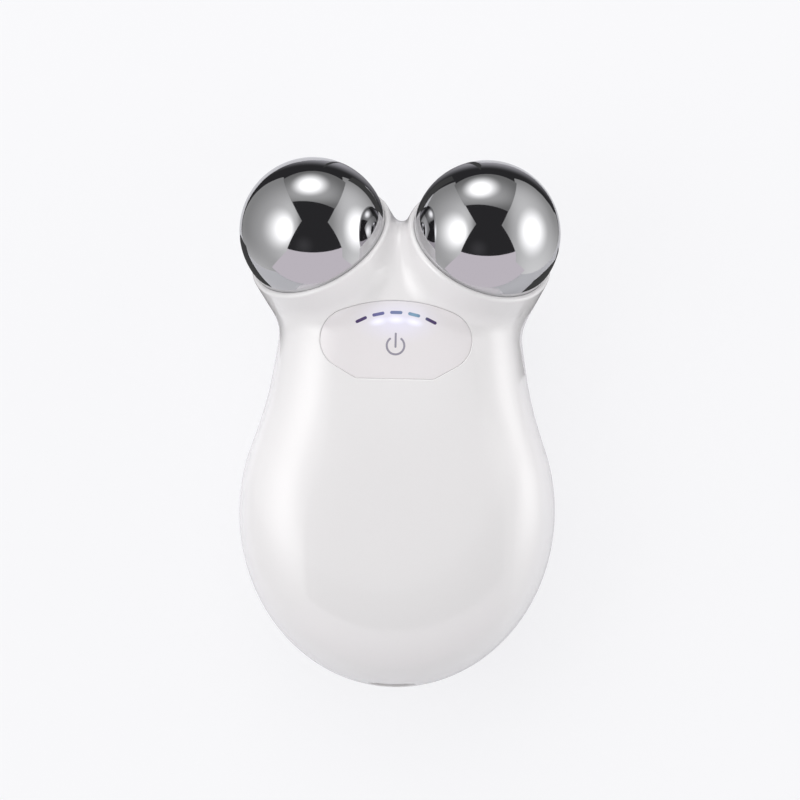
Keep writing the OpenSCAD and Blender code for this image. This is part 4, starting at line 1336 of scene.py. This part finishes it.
def pale_world(studio):
    """World that the camera and clear plastic see as the floor's colour, and that lights the
    object as a dim even sky."""
    world = bpy.data.worlds.new("pale_world")
    tree = bare_tree(world)
    seen = seen_by(tree, "Camera", "Transmission")
    sky = add_node(tree, "Background", {"Color": (1, 1, 1, 1), "Strength": 0.6})
    back = add_node(tree, "Background", {"Color": studio.floor, "Strength": 1.0})
    mixed = add_node(tree, "MixShader", {0: seen, 1: sky, 2: back})
    add_node(tree, "OutputWorld", {"Surface": mixed})
    return world


def place_camera(scene, studio):
    """Camera over the parting plane, turned by yaw and roll, with the field at that plane."""
    data = bpy.data.cameras.new("camera")
    camera = bpy.data.objects.new("camera", data)
    scene.collection.objects.link(camera)
    data.lens = data.sensor_width * studio.distance / studio.field
    data.clip_end = 20
    turn = Euler((0, studio.yaw, studio.roll)).to_matrix()
    target = Vector((studio.centre_x, studio.centre_y, SPLIT_Z * MM))
    away = turn @ Vector((0, 0, studio.distance))
    camera.matrix_world = Matrix.Translation(target + away) @ turn.to_4x4()
    scene.camera = camera


def dark_dome():
    """Dark room round the stage, which only metal and gloss see: near black, grey far below
    beyond the spheres, with a dim patch on the ceiling."""
    a = np.linspace(0, math.pi, 25)
    ball = turned(DOME_R * np.stack([np.sin(a), np.cos(a)], -1), np.zeros(3), [0, 0, 1], 48)
    dome = new_object("dark_dome", *ball)
    dome.data.materials.append(glowing("dark_room", "#F4F2FA", 0.038, DOME_SPOTS, 1.0))
    dome.visible_camera = dome.visible_diffuse = dome.visible_shadow = False
    dome.visible_transmission = False


def hang_lamp(scene):
    """Square softbox above and behind the spheres, aimed at the origin."""
    lamp = bpy.data.lights.new("overhead_lamp", "AREA")
    lamp.shape = "RECTANGLE"
    lamp.size = lamp.size_y = 1.4
    lamp.energy = 8.4
    overhead = bpy.data.objects.new("overhead_lamp", lamp)
    overhead.location = (-0.25, 1.1, 0.9)
    overhead.rotation_euler = (-overhead.location).to_track_quat("-Z", "Y").to_euler()
    overhead.visible_glossy = False
    scene.collection.objects.link(overhead)


# ---- Operators and panel ---------------------------------------------------------------------


class TONER_OT_housing(bpy.types.Operator):
    """Builds the front and rear shells with cup rims, key opening, parting groove and wells"""

    bl_idname = "toner.housing"
    bl_label = "Housing shells"

    def execute(self, context):
        toner = context.scene.toner
        form = Form(toner.housing)
        solid = housing_solid(form, toner.housing, toner.key)
        paint = pearl("pearl_shell", toner.finishes.shell)
        for side, up in (("front", -1), ("rear", 1)):
            make_piece(
                side + "_housing", solid, "housing", paint, [side + "_shell"],
                form=form, cuts=[parting_cutter(form, toner.housing, up)],
            )
        return {"FINISHED"}


class TONER_OT_spheres(bpy.types.Operator):
    """Builds the two chromed contact spheres, hollow and open at the back for their studs"""

    bl_idname = "toner.spheres"
    bl_label = "Contact spheres"

    def execute(self, context):
        toner = context.scene.toner
        points, faces = sphere_solid(Form(toner.housing))
        paint = mirror_chrome(toner.finishes)
        for side, flip in (("left", -1), ("right", 1)):
            make_piece(
                "contact_sphere_" + side, (points * [flip, 1, 1], faces[:, ::flip]), "housing",
                paint, ["sphere_" + side], sharp=50,
            )
        return {"FINISHED"}


class TONER_OT_key(bpy.types.Operator):
    """Builds the control key with its light windows, rounded edge and flange"""

    bl_idname = "toner.key"
    bl_label = "Control key"

    def execute(self, context):
        toner = context.scene.toner
        form = Form(toner.housing)
        low, over, under, play = KEY_BOX[0][2], 20, 1, 0.1
        cuts = window_prisms(toner.key, 0.0, low - 2 * under, SPHERE_C[2] + over)
        bed = guide_outline(toner.key, play)[::-1]
        cuts.append(prism(bed, low - under, low + GUIDE_T + play))
        make_piece(
            "key_cap", key_solid(form, toner.key), "key",
            lit_pearl(toner.finishes, toner.key), ["control_key"], form=form, cuts=cuts,
        )
        return {"FINISHED"}


class TONER_OT_light_guide(bpy.types.Operator):
    """Builds the light guide: five domed window tips on one bowed plate"""

    bl_idname = "toner.light_guide"
    bl_label = "Light guide"

    def execute(self, context):
        toner = context.scene.toner
        form = Form(toner.housing)
        low = node_box("light_guide")[0][2]
        dome, step, play, foot = 0.05, 0.03, 0.04, 0.9

        def domed(xy, share):
            """Height of a tip: a step under the key's top at its edge, less a parabola."""
            return form.height(xy) - toner.key.sunk / MM + dome * (1 - share**2) - step

        tips = window_prisms(toner.key, play, low + foot, domed)
        plate = prism(guide_outline(toner.key, 0.0)[::-1], low, low + GUIDE_T)
        make_piece(
            "light_guide_tips", joined(tips + [plate]), "key",
            window_glow(toner.key), ["light_guide"],
        )
        return {"FINISHED"}


class TONER_OT_power_sign(bpy.types.Operator):
    """Prints the power sign on the key as an open ring and a bar"""

    bl_idname = "toner.power_sign"
    bl_label = "Power sign"

    def execute(self, context):
        toner = context.scene.toner
        strokes = joined(sign_strokes(Form(toner.housing), toner.key))
        # Pad-printed ink: a thin film with a fine dry grain
        ink = grained("sign_ink", toner.finishes.sign, 0.12, 0.002, 0.5)
        make_piece("power_sign", strokes, "key", ink)
        return {"FINISHED"}


class TONER_OT_inlet(bpy.types.Operator):
    """Builds the charging inlet: a stamped sleeve and its contact tongue"""

    bl_idname = "toner.inlet"
    bl_label = "Charging inlet"

    def execute(self, context):
        # Stamped stainless steel: bright, with a fine rolled grain
        steel = grained("sleeve_steel", linear("#C2C4C7"), 0.3, 0.002, 0.2, Metallic=1.0)
        make_piece(
            "inlet_sleeve", inlet_sleeve(), "housing", steel, ["inlet_shell"]
        )
        make_piece(
            "contact_tongue", inlet_tongue(), "housing", tongue_gold(),
            ["inlet_tongue"],
        )
        return {"FINISHED"}


class TONER_OT_plugs(bpy.types.Operator):
    """Builds the soft plugs over the housing screws, slightly domed with a rounded rim"""

    bl_idname = "toner.plugs"
    bl_label = "Screw plugs"

    def execute(self, context):
        # Moulded silicone, matched to the shells but softer in its sheen
        tint = context.scene.toner.finishes.plug
        silicone = grained("plug_silicone", tint, 0.4, 0.006, 0.48, IOR=1.41)
        make_piece(
            "rubber_plugs", plug_solids(), "housing", silicone, ["screw_plugs"]
        )
        return {"FINISHED"}


class TONER_OT_inner_parts(bpy.types.Operator):
    """Gives the parts inside the housing their finishes"""

    bl_idname = "toner.inner_parts"
    bl_label = "Inner parts"

    def execute(self, context):
        finishes = {
            slot: grained(slot, linear(code), *sizes, **more)
            for slot, (code, *sizes, more) in INNER_FINISHES.items()
        }
        for row in frame["record"]["subparts"]:
            node = frame["nodes"][row["node"]]
            finish = finishes.get(row["material_slot"])
            if finish is not None and not node.hide_render:
                node.data.materials[0] = finish
        return {"FINISHED"}


class TONER_OT_stage(bpy.types.Operator):
    """Sets the floor, the studio cards, the lamp and the camera"""

    bl_idname = "toner.stage"
    bl_label = "Studio"

    def execute(self, context):
        scene = context.scene
        studio = scene.toner.studio
        scene.view_settings.view_transform = "Standard"
        scene.world = pale_world(studio)
        place_camera(scene, studio)
        card("floor", 2, -0.05, FLOOR, floor_material(studio), camera=True, glossy=False)
        # The table paper as metal and gloss see it: plain diffuse, with the object's shadow on it,
        # in a greyer tone than the floor, a painted shade over the table in the reflections
        paper = new_material(
            "shaded_table_paper", Base_Color=linear("#DEDEE2"), Roughness=1.0, Specular_IOR_Level=0.0
        )[0]
        card("paper", 2, -0.025, PAPER, paper, diffuse=False)
        for name, axis, place, outline, scale, code, base, spots, rays in LIGHT_CARDS:
            shine = glowing(name + "_light", code, base, spots, scale)
            card(name, axis, place, outline, shine, scale, **rays)
        dark_dome()
        hang_lamp(scene)
        return {"FINISHED"}


class TONER_PT_panel(bpy.types.Panel):
    """Sidebar list of the pieces of the toning device"""

    bl_label = "Toning device"
    bl_idname = "TONER_PT_panel"
    bl_space_type = "VIEW_3D"
    bl_region_type = "UI"
    bl_category = "Toning device"

    def draw(self, context):
        for operator in OPERATORS:
            self.layout.operator(operator.bl_idname)


SETTINGS = (HousingSizes, KeySizes, Finishes, StudioSettings, TonerSettings)
OPERATORS = (
    TONER_OT_housing, TONER_OT_spheres, TONER_OT_key, TONER_OT_light_guide, TONER_OT_power_sign,
    TONER_OT_inlet, TONER_OT_plugs, TONER_OT_inner_parts, TONER_OT_stage,
)


def register():
    """Registers the classes and hangs the settings on the scene."""
    for cls in SETTINGS + OPERATORS + (TONER_PT_panel,):
        bpy.utils.register_class(cls)
    bpy.types.Scene.toner = bpy.props.PointerProperty(type=TonerSettings)


def unregister():
    """Takes the settings off the scene and unregisters the classes."""
    del bpy.types.Scene.toner
    for cls in reversed(SETTINGS + OPERATORS + (TONER_PT_panel,)):
        bpy.utils.unregister_class(cls)


def main():
    """Builds all pieces and the stage."""
    register()
    for operator in OPERATORS:
        getattr(bpy.ops.toner, operator.bl_idname.split(".")[1])()


if __name__ == "__main__":
    main()
